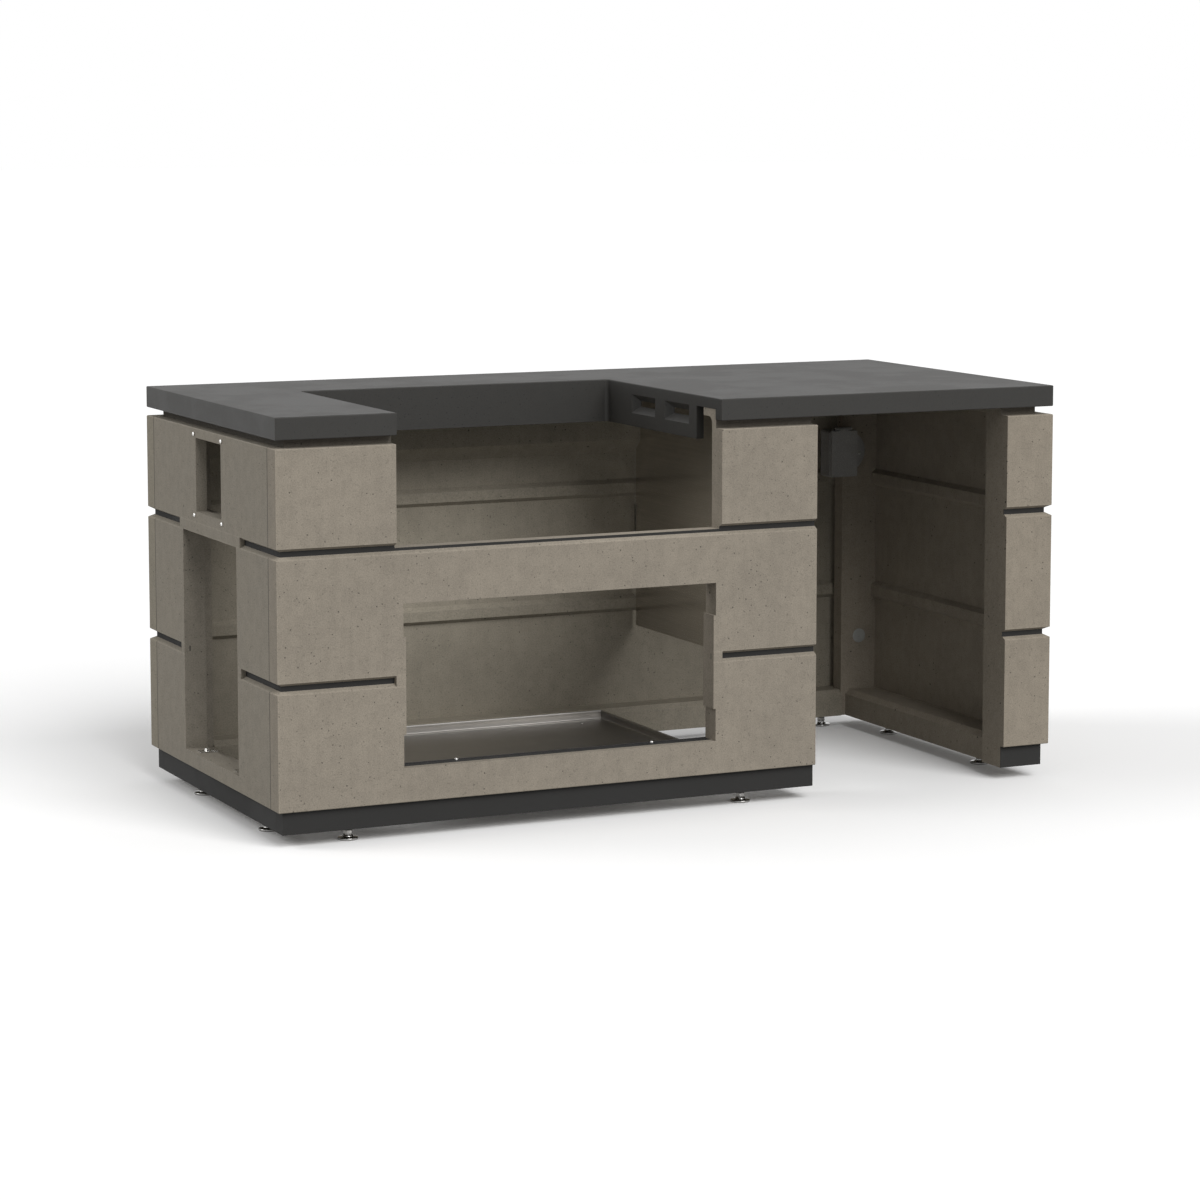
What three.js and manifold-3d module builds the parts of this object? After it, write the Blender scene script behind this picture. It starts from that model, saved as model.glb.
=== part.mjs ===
// An outdoor kitchen island: four hollow-backed concrete panels with course joints, bolted into
// a shell that carries a concrete countertop. The countertop is cut out for a drop-in grill,
// the front has a low door opening, and the right end is an open bay for an appliance.
// Millimetres. X runs along the front from the left end, Y from the front face to the back
// and Z up from the ground; the whole island is then centred on its footprint.

import * as THREE from "three";
import { mergeVertices } from "three/addons/utils/BufferGeometryUtils.js";
import Module from "manifold-3d";

const wasm = await Module();
wasm.setup();

// Lengths along the front, from the left end
const leftPierWidth = 269.5; // left end to the grill cut-out
const cutoutWidth = 770; // grill cut-out in the front panel
const rightPierWidth = 238; // grill cut-out to the appliance bay
const bayWidth = 493.5; // open appliance bay
const returnWidth = 121; // side panel's end, measured in from its outside face
const islandDepth = 862;

// Heights, from the ground up
const footClearance = 30; // ground to the underside of the plinth
const plinthHeight = 50;
const courseHeights = [262.5, 283.5, 221.5]; // joint centre to joint centre
const revealHeight = 18.5; // shadow line between the blocks and the countertop
const fasciaHeight = 48; // countertop's visible edge
const slabThickness = 24.5; // countertop behind its edge

// The panels' section, measured inwards from the outside face
const plinthSet = 12.7;
const jointHeight = 24; // course joint at the face
const jointFloorHeight = 10.5;
const jointDepth = 12.7;
const wallThickness = 25;
const borderThickness = 50;
const topRimThickness = 61; // back panel's thick upper band
const tongueSet = 30; // tongue that the countertop sits on
const flangeReach = 91.5;
const flangeThickness = 18;
const flangeFillet = 16;
const footRimReach = 94; // front and back panels' bottom rim
const sideRimReach = 108;
const footRimHeight = 65;
const footRimChamfer = 12;
const ridgeFootHeight = 42.5; // ridge that backs each course joint
const ridgeCrestHeight = 24;
const topRimDrop = 176.5; // foot of the back panel's upper band, below the slab
const topRimSlope = 0.92; // rise for each millimetre inwards
const fieldDrop = 58; // top of the other panels' thin field, below the slab
const fieldSlope = 0.56;
const returnGap = 14; // thin field to the front panel's bay end
const cornerBorderWidth = 90;
const openingBorderWidth = 45;
const endReturnDepth = 38.5; // side panels' bolted ends
const arris = 1.5; // small bevel on the block edges

// Openings in the panels
const doorWidth = 742;
const doorHeight = 354;
const doorSillHeight = 74; // above the plinth
const jambLandThickness = 5.5;
const jambLandStart = 72.5; // above the door sill
const jambLandHeight = 209;
const doorJointStop = 16.5; // joint end to the door opening
const serviceWidth = 358; // tall opening in the left panel
const serviceHeight = 499;
const serviceSillHeight = 35;
const serviceJointStop = 22;
const windowWidth = 168;
const windowHeight = 164;
const windowSillHeight = 582.5; // above the plinth

// Countertop
const counterOverlap = 2; // countertop past the blocks at the grill cut-out
const cutoutDepth = 585;
const cutoutCornerRadius = 9.5;
const lipThickness = 18;
const lipHeight = 98.5; // from the top of the countertop
const lipStart = 122.5; // from the front face
const counterBevel = 2;
const fasciaThickness = 30;
const ventWidth = 122.5;
const ventHeight = 42.5;
const ventDrop = 25.5; // from the top of the countertop
const ventPitch = 172.8;
const ventStart = 160.7; // from the front face
const ventTaper = 15; // on each side, from the lip's front to its back

// Divider, a steel sheet between the grill cavity and the appliance bay
const dividerThickness = 2;
const dividerLift = 207; // lower edge above the plinth
const dividerCorner = 19;

// Storage tray on its two arms
const traySideInset = 63; // from the door opening's right side
const trayPastDoor = 38; // past the door opening's left side
const trayDepth = 411;
const trayHeight = 22;
const traySheet = 2;
const trayRise = 1.3; // top of the tray above the door sill
const trayArmWidth = 40;
const trayArmSheet = 3;
const trayArmInset = 70;
const trayArmShort = 22; // arm's end, in from the back of the tray

// Levelling feet
const footPadRadius = 22.5;
const footPadHeight = 10;
const footBossRadius = 9;
const footBossHeight = 3;
const footStemRadius = 5;
const footEngagement = 22.3; // thread left in the panel with the foot right out
const footHexWidth = 17;
const footHexHeight = 7;
const footTravel = 20;
const footPadChamfer = 2.5;
const footStemChamfer = 1.25;
const footEdgeDistance = 57; // front panel's feet, from the outside face
const footEndDistance = 175.5; // front panel's first foot, from the left end
const footPierDistance = 160.5; // front panel's second foot, from the bay
const backFootEndDistance = 154;
const backFootEdgeDistance = 47;
const sideFootEdgeDistance = 54;
const sideFootEndDistance = 215;

// Joint bolts and the caps over them
const boltEdgeDistance = 71; // from the side panel's outside face
const boltHeights = [149, 615]; // above the plinth
const boltRadius = 5;
const boltGrip = 25; // into the front or back panel
const boltHeadWidth = 17;
const boltHeadHeight = 6.5;
const washerRadius = 11;
const washerThickness = 2;
const boltPocketRadius = 14;
const boltPocketDepth = 20;
const capRadius = 17.5;
const capHeight = 3.5;
const capShankDepth = 9;
const capPlugWall = 1.75;
const capRimShare = 0.33; // upright rim of a cap, of its height
const capFlatShare = 0.75; // flat middle of a cap, of its radius

// Power outlet in the bay
const outletFromBay = 8.5; // round plate's middle from the bay's right side
const outletBoxShift = 35; // box's middle from the plate's, towards the grill
const outletWidth = 75;
const outletHeight = 116;
const outletDepth = 57;
const outletWall = 5;
const outletCorner = 8;
const outletPlateRadius = 52;
const outletPlateThickness = 4;
const outletLidThickness = 8;
const outletLidInset = 1.5; // lid's edge inside the box's
const outletLidCorner = 2;
const outletLidNeck = 2; // shadow line behind the lid
const outletLidNeckInset = 2;
const outletLidDish = 5; // hollow in the lid's back
const receptacleRadius = 17;
const receptaclePitch = 38;
const receptacleDepth = 27;
const receptacleFaceRise = 3;
const receptacleCorner = 5;
const receptacleGap = 1; // to the box's walls
const outletSlotWidth = 2.4;
const outletSlotHeight = 8;
const outletSlotDepth = 10;
const outletSlotPitch = 12.7;
const outletSlotRise = 2.25;
const earthRadius = 2.6;
const earthDrop = 9;
const hingeRadius = 3.6;
const hingeProud = 1.8; // hinge's middle, out from the box's front
const hingePinRadius = 1.6;
const hingeEarWidth = 9;
const hingeSpread = 46; // between the hinge ears' outer faces
const plateScrewInset = 15.5; // from the plate's edge
const plateScrewDrop = 6.5; // right-hand screw below the plate's middle

// Small screws and clips
const screwHeadRadius = 4.2;
const screwHeadHeight = 4.2;
const screwShankRadius = 2.1;
const screwShankLength = 16;
const headSideShare = 0.5; // upright side of a pan head, of its height
const headFlatShare = 0.67; // flat top of a pan head, of its radius
const windowScrewOut = 8; // beyond the window's edges
const doorScrewInset = 137; // from the sides of the door opening
const doorScrewDepth = 42;
const clipWidth = 26;
const clipSheet = 2.5;
const clipLength = 39;
const clipDrop = 12;
const clipInset = 54; // from the sides of the tall opening
const clipScrewInset = 18; // from the panel's inside face
const clipScrewRadius = 5;
const clipScrewHeight = 5;
const dividerScrewEnd = 46; // first and last screw from the board's lower and upper edge
const dividerScrewInset = 22;
const angleLeg = 25;
const angleSheet = 2.5;
const angleLength = 200;

// Clearances
const seam = 0.3; // between castings, and between a piece and its seat
const boltClearance = 0.5; // round a bolt, stem or screw
const dividerClearance = 1.5;
const hingeClearance = 0.4;
const overrun = 5; // cutters past the faces that they cut

// Worked-out places
const frontLength = leftPierWidth + cutoutWidth + rightPierWidth;
const islandLength = frontLength + bayWidth + returnWidth;
const blockBase = footClearance + plinthHeight;
const jointCentres = [blockBase + courseHeights[0], blockBase + courseHeights[0] + courseHeights[1]];
const blockTop = jointCentres[1] + courseHeights[2];
const fasciaBase = blockTop + revealHeight;
const islandHeight = fasciaBase + fasciaHeight;
const slabUnderside = islandHeight - slabThickness;
const tongueTop = slabUnderside - seam;
const cutoutLeft = leftPierWidth;
const cutoutRight = leftPierWidth + cutoutWidth;
const cutoutMiddle = (cutoutLeft + cutoutRight) / 2;
const doorSill = blockBase + doorSillHeight;
const footRimTop = footClearance + footRimHeight;
const sideLength = islandDepth - 2 * borderThickness - 2 * seam;
const sideMiddle = sideLength / 2;
const doorScrewSpread = doorWidth / 2 - doorScrewInset;
const clipSpread = serviceWidth / 2 - clipInset;
const footStemLength = footClearance - footPadHeight - seam + footTravel + footEngagement;
const serviceSill = blockBase + serviceSillHeight;
const serviceTop = serviceSill + serviceHeight;
const windowSill = blockBase + windowSillHeight;
const lipBottom = islandHeight - lipHeight;
const dividerLow = blockBase + dividerLift;
const dividerTop = tongueTop - flangeThickness - dividerClearance;
const dividerScrewHeights = [
  dividerLow + dividerScrewEnd, (dividerLow + dividerTop) / 2, dividerTop - dividerScrewEnd,
];
const returnDepth = footRimReach;
const bayRight = frontLength + bayWidth;
const frontOfRearReturn = islandDepth - borderThickness - seam - endReturnDepth;

// Turns a closed geometry into a manifold solid.
function solidOf(geometry) {
  const bare = geometry.clone();
  bare.deleteAttribute("normal");
  bare.deleteAttribute("uv");
  const merged = mergeVertices(bare, 1e-4);
  return new wasm.Manifold(
    new wasm.Mesh({
      numProp: 3,
      vertProperties: merged.attributes.position.array,
      triVerts: new Uint32Array(merged.index.array),
    }),
  );
}

// Turns a manifold solid back into a geometry with flat shading.
function geometryOf(solid) {
  const made = solid.getMesh();
  const geometry = new THREE.BufferGeometry();
  geometry.setAttribute("position", new THREE.BufferAttribute(made.vertProperties, 3));
  geometry.setIndex(new THREE.BufferAttribute(made.triVerts, 1));
  const flat = geometry.toNonIndexed();
  flat.computeVertexNormals();
  return flat;
}

// A solid box between two corners.
function block([x0, y0, z0], [x1, y1, z1]) {
  const box = new THREE.BoxGeometry(x1 - x0, y1 - y0, z1 - z0);
  box.translate((x0 + x1) / 2, (y0 + y1) / 2, (z0 + z1) / 2);
  return solidOf(box);
}

// An outline of (across, up) pairs as a shape that runs anticlockwise.
function outline(points) {
  const corners = points.map(([across, up]) => new THREE.Vector2(across, up));
  return new THREE.Shape(THREE.ShapeUtils.isClockWise(corners) ? corners.reverse() : corners);
}

// A shape pushed through a length, with its two axes and the push laid on X, Y and Z.
function pushed(shape, length, across, up, along, start) {
  const made = new THREE.ExtrudeGeometry(shape, { depth: length, bevelEnabled: false, curveSegments: 5 });
  const place = new THREE.Matrix4().makeBasis(across, up, along).setPosition(start);
  return solidOf(made.applyMatrix4(place));
}

const xAxis = new THREE.Vector3(1, 0, 0);
const yAxis = new THREE.Vector3(0, 1, 0);
const zAxis = new THREE.Vector3(0, 0, 1);

// A section of (Y, Z) run along X.
function alongX(section, from, to) {
  return pushed(section, to - from, yAxis, zAxis, xAxis, new THREE.Vector3(from, 0, 0));
}

// An elevation of (X, Z) run along Y.
function alongY(elevation, from, to) {
  return pushed(elevation, to - from, xAxis, zAxis, yAxis.clone().negate(), new THREE.Vector3(0, to, 0));
}

// A plan of (X, Y) run up Z.
function alongZ(plan, from, to) {
  return pushed(plan, to - from, xAxis, yAxis, zAxis, new THREE.Vector3(0, 0, from));
}

// A turned solid from a profile of (radius, height) pairs that starts and ends on its axis.
function turned(profile, sides) {
  const lathe = new THREE.LatheGeometry(profile.map(([r, h]) => new THREE.Vector2(r, h)), sides);
  return solidOf(lathe.rotateX(Math.PI / 2));
}

// A plain round bar from one height to another.
function bar(radius, from, to, sides = 16) {
  return turned([[0, from], [radius, from], [radius, to], [0, to]], sides);
}

// A hexagon across its flats, from one height to another.
function hexagon(width, from, to) {
  return bar(width / Math.sqrt(3), from, to, 6);
}

// Moves a solid.
function moved(solid, x, y, z) {
  return solid.translate([x, y, z]);
}

// Panels are made lying along X with their outside face at Y 0, and are turned into place.

// The outside and inside of a panel's wall as a section of (inwards, up).
function wallSection(wall, rimReach) {
  const section = new THREE.Shape();
  section.moveTo(plinthSet, footClearance);
  section.lineTo(plinthSet, blockBase);
  section.lineTo(arris, blockBase);
  section.lineTo(0, blockBase + arris);
  section.lineTo(0, blockTop - arris);
  section.lineTo(arris, blockTop);
  section.lineTo(tongueSet, blockTop);
  section.lineTo(tongueSet, tongueTop);
  section.lineTo(flangeReach, tongueTop);
  section.lineTo(flangeReach, tongueTop - flangeThickness);
  const filletTop = tongueTop - flangeThickness;
  section.lineTo(wall + flangeFillet, filletTop);
  section.absarc(wall + flangeFillet, filletTop - flangeFillet, flangeFillet, Math.PI / 2, Math.PI);
  section.lineTo(wall, footRimTop);
  section.lineTo(rimReach - footRimChamfer, footRimTop);
  section.lineTo(rimReach, footRimTop - footRimChamfer);
  section.lineTo(rimReach, footClearance);
  return section;
}

// The ridge behind a course joint, as (inwards, up) points.
function ridgePoints(joint) {
  const foot = ridgeFootHeight / 2;
  const crest = ridgeCrestHeight / 2;
  return [
    [wallThickness, joint - foot],
    [wallThickness + jointDepth, joint - crest],
    [wallThickness + jointDepth, joint + crest],
    [wallThickness, joint + foot],
  ];
}

// The hollow behind a wall's thin field, as a section of (inwards, up). It runs from a low
// edge to a slope at the top, and leaves a ridge behind each course joint on the way.
function hollowSection(low, high, slope, mouth) {
  const ridges = jointCentres.filter(
    (joint) => joint - ridgeFootHeight / 2 > low && joint + ridgeFootHeight / 2 < high,
  );
  return outline([
    [wallThickness, low],
    ...ridges.flatMap((joint) => ridgePoints(joint)),
    [wallThickness, high],
    [mouth, high + slope * (mouth - wallThickness)],
    [mouth, low],
  ]);
}

// A course joint's cutter as a section of (inwards, up), open to the face.
function jointSection(centre) {
  const mouth = jointHeight / 2 + (overrun * (jointHeight - jointFloorHeight)) / 2 / jointDepth;
  return outline([
    [-overrun, centre - mouth],
    [jointDepth, centre - jointFloorHeight / 2],
    [jointDepth, centre + jointFloorHeight / 2],
    [-overrun, centre + mouth],
  ]);
}

// Cuts the course joints into a panel's face over each run of [from, to].
function withFaceJoints(panel, centres, runs) {
  let cut = panel;
  for (const centre of centres) {
    for (const [from, to] of runs) cut = cut.subtract(alongX(jointSection(centre), from, to));
  }
  return cut;
}

// Cuts the course joints round onto a panel's end face at X 0, or at its far end.
function withEndJoints(panel, depth, farEnd) {
  let cut = panel;
  for (const centre of jointCentres) {
    const turnedCutter = jointSection(centre);
    const along = alongY(turnedCutter, -overrun, depth + overrun);
    const cutter = farEnd === undefined ? along : moved(along.mirror([1, 0, 0]), farEnd, 0, 0);
    cut = cut.subtract(cutter);
  }
  return cut;
}

// The edge of a panel's elevation at an end that shows: plinth, blocks and tongue.
function steppedEnd(x, inward) {
  return [
    [x + inward * plinthSet, footClearance],
    [x + inward * plinthSet, blockBase],
    [x + inward * arris, blockBase],
    [x, blockBase + arris],
    [x, blockTop - arris],
    [x + inward * arris, blockTop],
    [x + inward * tongueSet, blockTop],
    [x + inward * tongueSet, tongueTop],
  ];
}

// The edge of an elevation at a plain end.
function plainEnd(x) {
  return [[x, footClearance], [x, tongueTop]];
}

// The room that a side panel's end takes from the panel that it is bolted to.
function cornerSeat(from, to) {
  return block(
    [from, borderThickness, footClearance - overrun],
    [to, sideRimReach + overrun, islandHeight],
  );
}

// A hole for a joint bolt in the front or back panel's border.
function boltHole(x, z) {
  const hole = bar(boltRadius + boltClearance, 0, boltGrip + overrun).rotate([-90, 0, 0]);
  return moved(hole, x, borderThickness - boltGrip - boltClearance, z);
}

// A blind hole for a levelling foot, open at the underside.
function footHole(x, y) {
  const depth = footHoleDepth();
  return moved(bar(footStemRadius + boltClearance, -overrun, depth), x, y, footClearance);
}

// How far a levelling foot's stem and its running room reach into a rim.
function footHoleDepth() {
  const tip = footPadHeight + seam + footStemLength;
  return tip + boltClearance - footClearance;
}

// A hole for a small screw whose head sits on a face, pointing up from Z 0 before it is placed.
function screwHole() {
  return bar(screwShankRadius + boltClearance / 2, -screwShankLength - boltClearance, overrun, 12);
}

// The door opening with its raised jamb lands.
function doorPath() {
  const left = cutoutMiddle - doorWidth / 2;
  const right = cutoutMiddle + doorWidth / 2;
  const landLow = doorSill + jambLandStart;
  const landHigh = landLow + jambLandHeight;
  const points = [
    [left, doorSill],
    [left, landLow],
    [left + jambLandThickness, landLow],
    [left + jambLandThickness, landHigh],
    [left, landHigh],
    [left, doorSill + doorHeight],
    [right, doorSill + doorHeight],
    [right, landHigh],
    [right - jambLandThickness, landHigh],
    [right - jambLandThickness, landLow],
    [right, landLow],
    [right, doorSill],
  ];
  return new THREE.Path(points.map(([x, z]) => new THREE.Vector2(x, z)));
}

// The front panel: a pier each side of the grill cut-out, and the door opening below it.
function frontPanel() {
  const elevation = outline([
    ...steppedEnd(0, 1),
    [cutoutLeft, tongueTop],
    [cutoutLeft, jointCentres[1]],
    [cutoutRight, jointCentres[1]],
    [cutoutRight, tongueTop],
    ...plainEnd(frontLength).reverse(),
  ]);
  elevation.holes.push(doorPath());
  const baySide = frontLength - borderThickness;
  let panel = alongX(wallSection(borderThickness, footRimReach), 0, frontLength).add(
    block([baySide, tongueSet, footClearance], [frontLength, returnDepth, tongueTop]),
  );
  panel = panel.intersect(alongY(elevation, -overrun, sideRimReach));
  const fieldTop = slabUnderside - fieldDrop;
  const hollow = hollowSection(footRimTop, fieldTop, fieldSlope, borderThickness + overrun);
  const bayField = baySide - returnGap;
  panel = panel
    .subtract(alongX(hollow, cornerBorderWidth, cutoutLeft - openingBorderWidth))
    .subtract(alongX(hollow, cutoutRight + openingBorderWidth, bayField))
    .subtract(cornerSeat(-overrun, returnWidth + seam));
  const doorLeft = cutoutMiddle - doorWidth / 2 - doorJointStop;
  const doorRight = cutoutMiddle + doorWidth / 2 + doorJointStop;
  panel = withFaceJoints(panel, [jointCentres[0]], [
    [-overrun, doorLeft],
    [doorRight, frontLength + overrun],
  ]);
  panel = withFaceJoints(panel, [jointCentres[1]], [[-overrun, frontLength + overrun]]);
  panel = withEndJoints(panel, borderThickness);
  for (const height of boltHeights) panel = panel.subtract(boltHole(boltEdgeDistance, blockBase + height));
  panel = panel
    .subtract(footHole(footEndDistance, footEdgeDistance))
    .subtract(footHole(frontLength - footPierDistance, footEdgeDistance));
  for (const side of [-1, 1]) {
    const x = cutoutMiddle + side * doorScrewSpread;
    panel = panel
      .subtract(moved(screwHole(), x, doorScrewDepth, doorSill))
      .subtract(moved(screwHole().rotate([180, 0, 0]), x, doorScrewDepth, doorSill + doorHeight));
  }
  for (const height of dividerScrewHeights) {
    const hole = screwHole().rotate([0, -90, 0]);
    const y = borderThickness + dividerScrewInset;
    panel = panel.subtract(moved(hole, baySide - dividerThickness - seam, y, height));
  }
  return panel;
}

// The back panel: full length, with a thick upper band between the side panels.
function backPanel() {
  const elevation = outline([
    ...steppedEnd(0, 1),
    ...steppedEnd(islandLength, -1).reverse(),
  ]);
  let panel = alongX(wallSection(topRimThickness, footRimReach), 0, islandLength);
  panel = panel.intersect(alongY(elevation, -overrun, sideRimReach));
  const hollow = hollowSection(
    footRimTop, slabUnderside - topRimDrop, topRimSlope, topRimThickness + overrun,
  );
  const seatEnd = returnWidth + seam;
  panel = panel
    .subtract(alongX(hollow, cornerBorderWidth, islandLength - cornerBorderWidth))
    .subtract(cornerSeat(-overrun, seatEnd))
    .subtract(cornerSeat(islandLength - seatEnd, islandLength + overrun));
  panel = withFaceJoints(panel, jointCentres, [[-overrun, islandLength + overrun]]);
  panel = withEndJoints(panel, borderThickness);
  panel = withEndJoints(panel, borderThickness, islandLength);
  for (const x of [boltEdgeDistance, islandLength - boltEdgeDistance]) {
    for (const height of boltHeights) panel = panel.subtract(boltHole(x, blockBase + height));
  }
  for (const x of [backFootEndDistance, islandLength - backFootEndDistance]) {
    panel = panel.subtract(footHole(x, backFootEdgeDistance));
  }
  return panel;
}

// The pocket and hole for a joint bolt through a side panel's end. It opens inwards at Z 0
// and points down before it is placed.
function boltPocket() {
  return bar(boltPocketRadius, -boltPocketDepth, overrun, 20).add(
    bar(boltRadius + boltClearance, -endReturnDepth - overrun, -boltPocketDepth + seam),
  );
}

// The thin field of a side panel as a cutter, over a run of the panel.
function sideField(from, to, low) {
  const section = hollowSection(low, slabUnderside - fieldDrop, fieldSlope, borderThickness + overrun);
  return alongX(section, from, to);
}

// The room between a side panel's two ends, in from its border, as a cutter.
function sideRoom(from, to) {
  const filletTop = tongueTop - flangeThickness;
  const room = new THREE.Shape();
  room.moveTo(borderThickness, footRimTop);
  room.lineTo(sideRimReach - footRimChamfer, footRimTop);
  room.lineTo(sideRimReach, footRimTop - footRimChamfer);
  room.lineTo(sideRimReach, footClearance - overrun);
  room.lineTo(returnWidth + overrun, footClearance - overrun);
  room.lineTo(returnWidth + overrun, tongueTop + overrun);
  room.lineTo(flangeReach, tongueTop + overrun);
  room.lineTo(flangeReach, filletTop);
  room.lineTo(borderThickness + flangeFillet, filletTop);
  room.absarc(borderThickness + flangeFillet, filletTop - flangeFillet, flangeFillet, Math.PI / 2, Math.PI);
  return alongX(room, from, to);
}

// The block that a side panel is cut from: outside face, full-depth ends.
function sideStock(length, elevation) {
  const section = outline([
    ...steppedEnd(0, 1),
    [returnWidth, tongueTop],
    [returnWidth, footClearance],
  ]);
  return alongX(section, 0, length).intersect(alongY(elevation, -overrun, returnWidth + overrun));
}

// The left panel, with the tall service opening and the small window over it.
// Its X 0 is its back end.
function leftPanel() {
  const elevation = outline([...plainEnd(0), ...plainEnd(sideLength).reverse()]);
  const hole = (middle, width, low, high) =>
    new THREE.Path(
      [
        [middle - width / 2, low],
        [middle - width / 2, high],
        [middle + width / 2, high],
        [middle + width / 2, low],
      ].map(([x, z]) => new THREE.Vector2(x, z)),
    );
  elevation.holes.push(hole(sideMiddle, serviceWidth, serviceSill, serviceTop));
  elevation.holes.push(hole(sideMiddle, windowWidth, windowSill, windowSill + windowHeight));
  const borderOut = serviceWidth / 2 + openingBorderWidth;
  let panel = sideStock(sideLength, elevation)
    .subtract(sideRoom(endReturnDepth, sideLength - endReturnDepth))
    .subtract(sideField(endReturnDepth, sideMiddle - borderOut, footRimTop))
    .subtract(sideField(sideMiddle + borderOut, sideLength - endReturnDepth, footRimTop))
    .subtract(sideField(sideMiddle - borderOut, sideMiddle + borderOut, serviceTop + openingBorderWidth));
  const jointStop = serviceWidth / 2 + serviceJointStop;
  panel = withFaceJoints(panel, jointCentres, [
    [-overrun, sideMiddle - jointStop],
    [sideMiddle + jointStop, sideLength + overrun],
  ]);
  panel = withBoltPockets(panel, [0, sideLength]);
  for (const x of [sideFootEndDistance, islandDepth - sideFootEndDistance]) {
    panel = panel.subtract(footHole(x - borderThickness - seam, sideFootEdgeDistance));
  }
  for (const [x, z] of windowScrewPlaces()) {
    const shank = screwHole().rotate([90, 0, 0]);
    panel = panel.subtract(moved(shank, x, 0, z));
  }
  for (const side of [-1, 1]) {
    const x = sideMiddle + side * clipSpread;
    panel = panel.subtract(moved(screwHole(), x, borderThickness - clipScrewInset, serviceSill));
  }
  return panel;
}

// Cuts a bolt pocket into a side panel's bolted ends, from the inside.
function withBoltPockets(panel, ends) {
  let cut = panel;
  for (const end of ends) {
    const outward = end === 0 ? 1 : -1;
    for (const height of boltHeights) {
      const pocket = boltPocket().rotate([outward * -90, 0, 0]).rotate([0, 0, -90]);
      const x = end + outward * endReturnDepth;
      cut = cut.subtract(moved(pocket, x, boltEdgeDistance, blockBase + height));
    }
  }
  return cut;
}

// The right panel, with a deep front end that closes the bay. Its X 0 is its front end.
function rightPanel() {
  const length = islandDepth - borderThickness - seam;
  const elevation = outline([...steppedEnd(0, 1), ...plainEnd(length).reverse()]);
  let panel = sideStock(length, elevation)
    .subtract(sideRoom(returnDepth, length - endReturnDepth))
    .subtract(sideField(returnDepth, length - endReturnDepth, footRimTop));
  panel = withFaceJoints(panel, jointCentres, [[-overrun, length + overrun]]);
  panel = withEndJoints(panel, returnWidth);
  panel = withBoltPockets(panel, [length]);
  for (const x of [sideFootEndDistance, islandDepth - sideFootEndDistance]) {
    panel = panel.subtract(footHole(x, sideFootEdgeDistance));
  }
  return panel;
}

// The countertop: a slab with a deep edge, and a lip down three sides of the grill cut-out.
function countertop() {
  const left = cutoutLeft + counterOverlap;
  const right = cutoutRight - counterOverlap;
  const r = cutoutCornerRadius;
  const plan = new THREE.Shape();
  plan.moveTo(0, 0);
  plan.lineTo(left, 0);
  plan.lineTo(left, cutoutDepth - r);
  plan.absarc(left + r, cutoutDepth - r, r, Math.PI, Math.PI / 2, true);
  plan.lineTo(right - r, cutoutDepth);
  plan.absarc(right - r, cutoutDepth - r, r, Math.PI / 2, 0, true);
  plan.lineTo(right, 0);
  plan.lineTo(islandLength, 0);
  plan.lineTo(islandLength, islandDepth);
  plan.lineTo(0, islandDepth);
  const stock = new THREE.ExtrudeGeometry(plan, {
    depth: fasciaHeight - 2 * counterBevel,
    bevelEnabled: true,
    bevelThickness: counterBevel,
    bevelSize: counterBevel,
    bevelOffset: -counterBevel,
    bevelSegments: 2,
    curveSegments: 5,
  });
  stock.translate(0, 0, fasciaBase + counterBevel);
  const room = block(
    [fasciaThickness, fasciaThickness, fasciaBase - overrun],
    [islandLength - fasciaThickness, islandDepth - fasciaThickness, slabUnderside],
  );
  return solidOf(stock).subtract(room).add(lips(left, right));
}

// The U-shaped lip under the grill cut-out, with two tapered vents through its right leg.
function lips(left, right) {
  const r = cutoutCornerRadius;
  const back = cutoutDepth + lipThickness;
  const plan = new THREE.Shape();
  plan.moveTo(left - lipThickness, lipStart);
  plan.lineTo(left, lipStart);
  plan.lineTo(left, cutoutDepth - r);
  plan.absarc(left + r, cutoutDepth - r, r, Math.PI, Math.PI / 2, true);
  plan.lineTo(right - r, cutoutDepth);
  plan.absarc(right - r, cutoutDepth - r, r, Math.PI / 2, 0, true);
  plan.lineTo(right, lipStart);
  plan.lineTo(right + lipThickness, lipStart);
  plan.lineTo(right + lipThickness, back);
  plan.lineTo(left - lipThickness, back);
  let made = alongZ(plan, lipBottom, islandHeight - counterBevel);
  for (const start of [ventStart, ventStart + ventPitch]) {
    made = made.subtract(ventCutter(right, start));
  }
  return made;
}

// One vent: a rectangle on the cut-out's side of the lip that tapers through it.
function ventCutter(x, start) {
  const slope = ventTaper / lipThickness;
  const across = ventWidth / 2 + slope * overrun;
  const up = ventHeight / 2 + slope * overrun;
  const through = lipThickness + 2 * overrun;
  const farAcross = across - slope * through;
  const farUp = up - slope * through;
  const ring = (atX, halfAcross, halfUp) => [
    [atX, -halfAcross, -halfUp],
    [atX, halfAcross, -halfUp],
    [atX, halfAcross, halfUp],
    [atX, -halfAcross, halfUp],
  ];
  const corners = [...ring(-overrun, across, up), ...ring(lipThickness + overrun, farAcross, farUp)];
  const faces = [
    [0, 3, 2], [0, 2, 1], [4, 5, 6], [4, 6, 7],
    [0, 1, 5], [0, 5, 4], [1, 2, 6], [1, 6, 5],
    [2, 3, 7], [2, 7, 6], [3, 0, 4], [3, 4, 7],
  ];
  const wedge = new THREE.BufferGeometry();
  wedge.setAttribute("position", new THREE.Float32BufferAttribute(corners.flat(), 3));
  wedge.setIndex(faces.flat());
  const middleUp = islandHeight - ventDrop - ventHeight / 2;
  return moved(solidOf(wedge), x, start + ventWidth / 2, middleUp);
}

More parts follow.
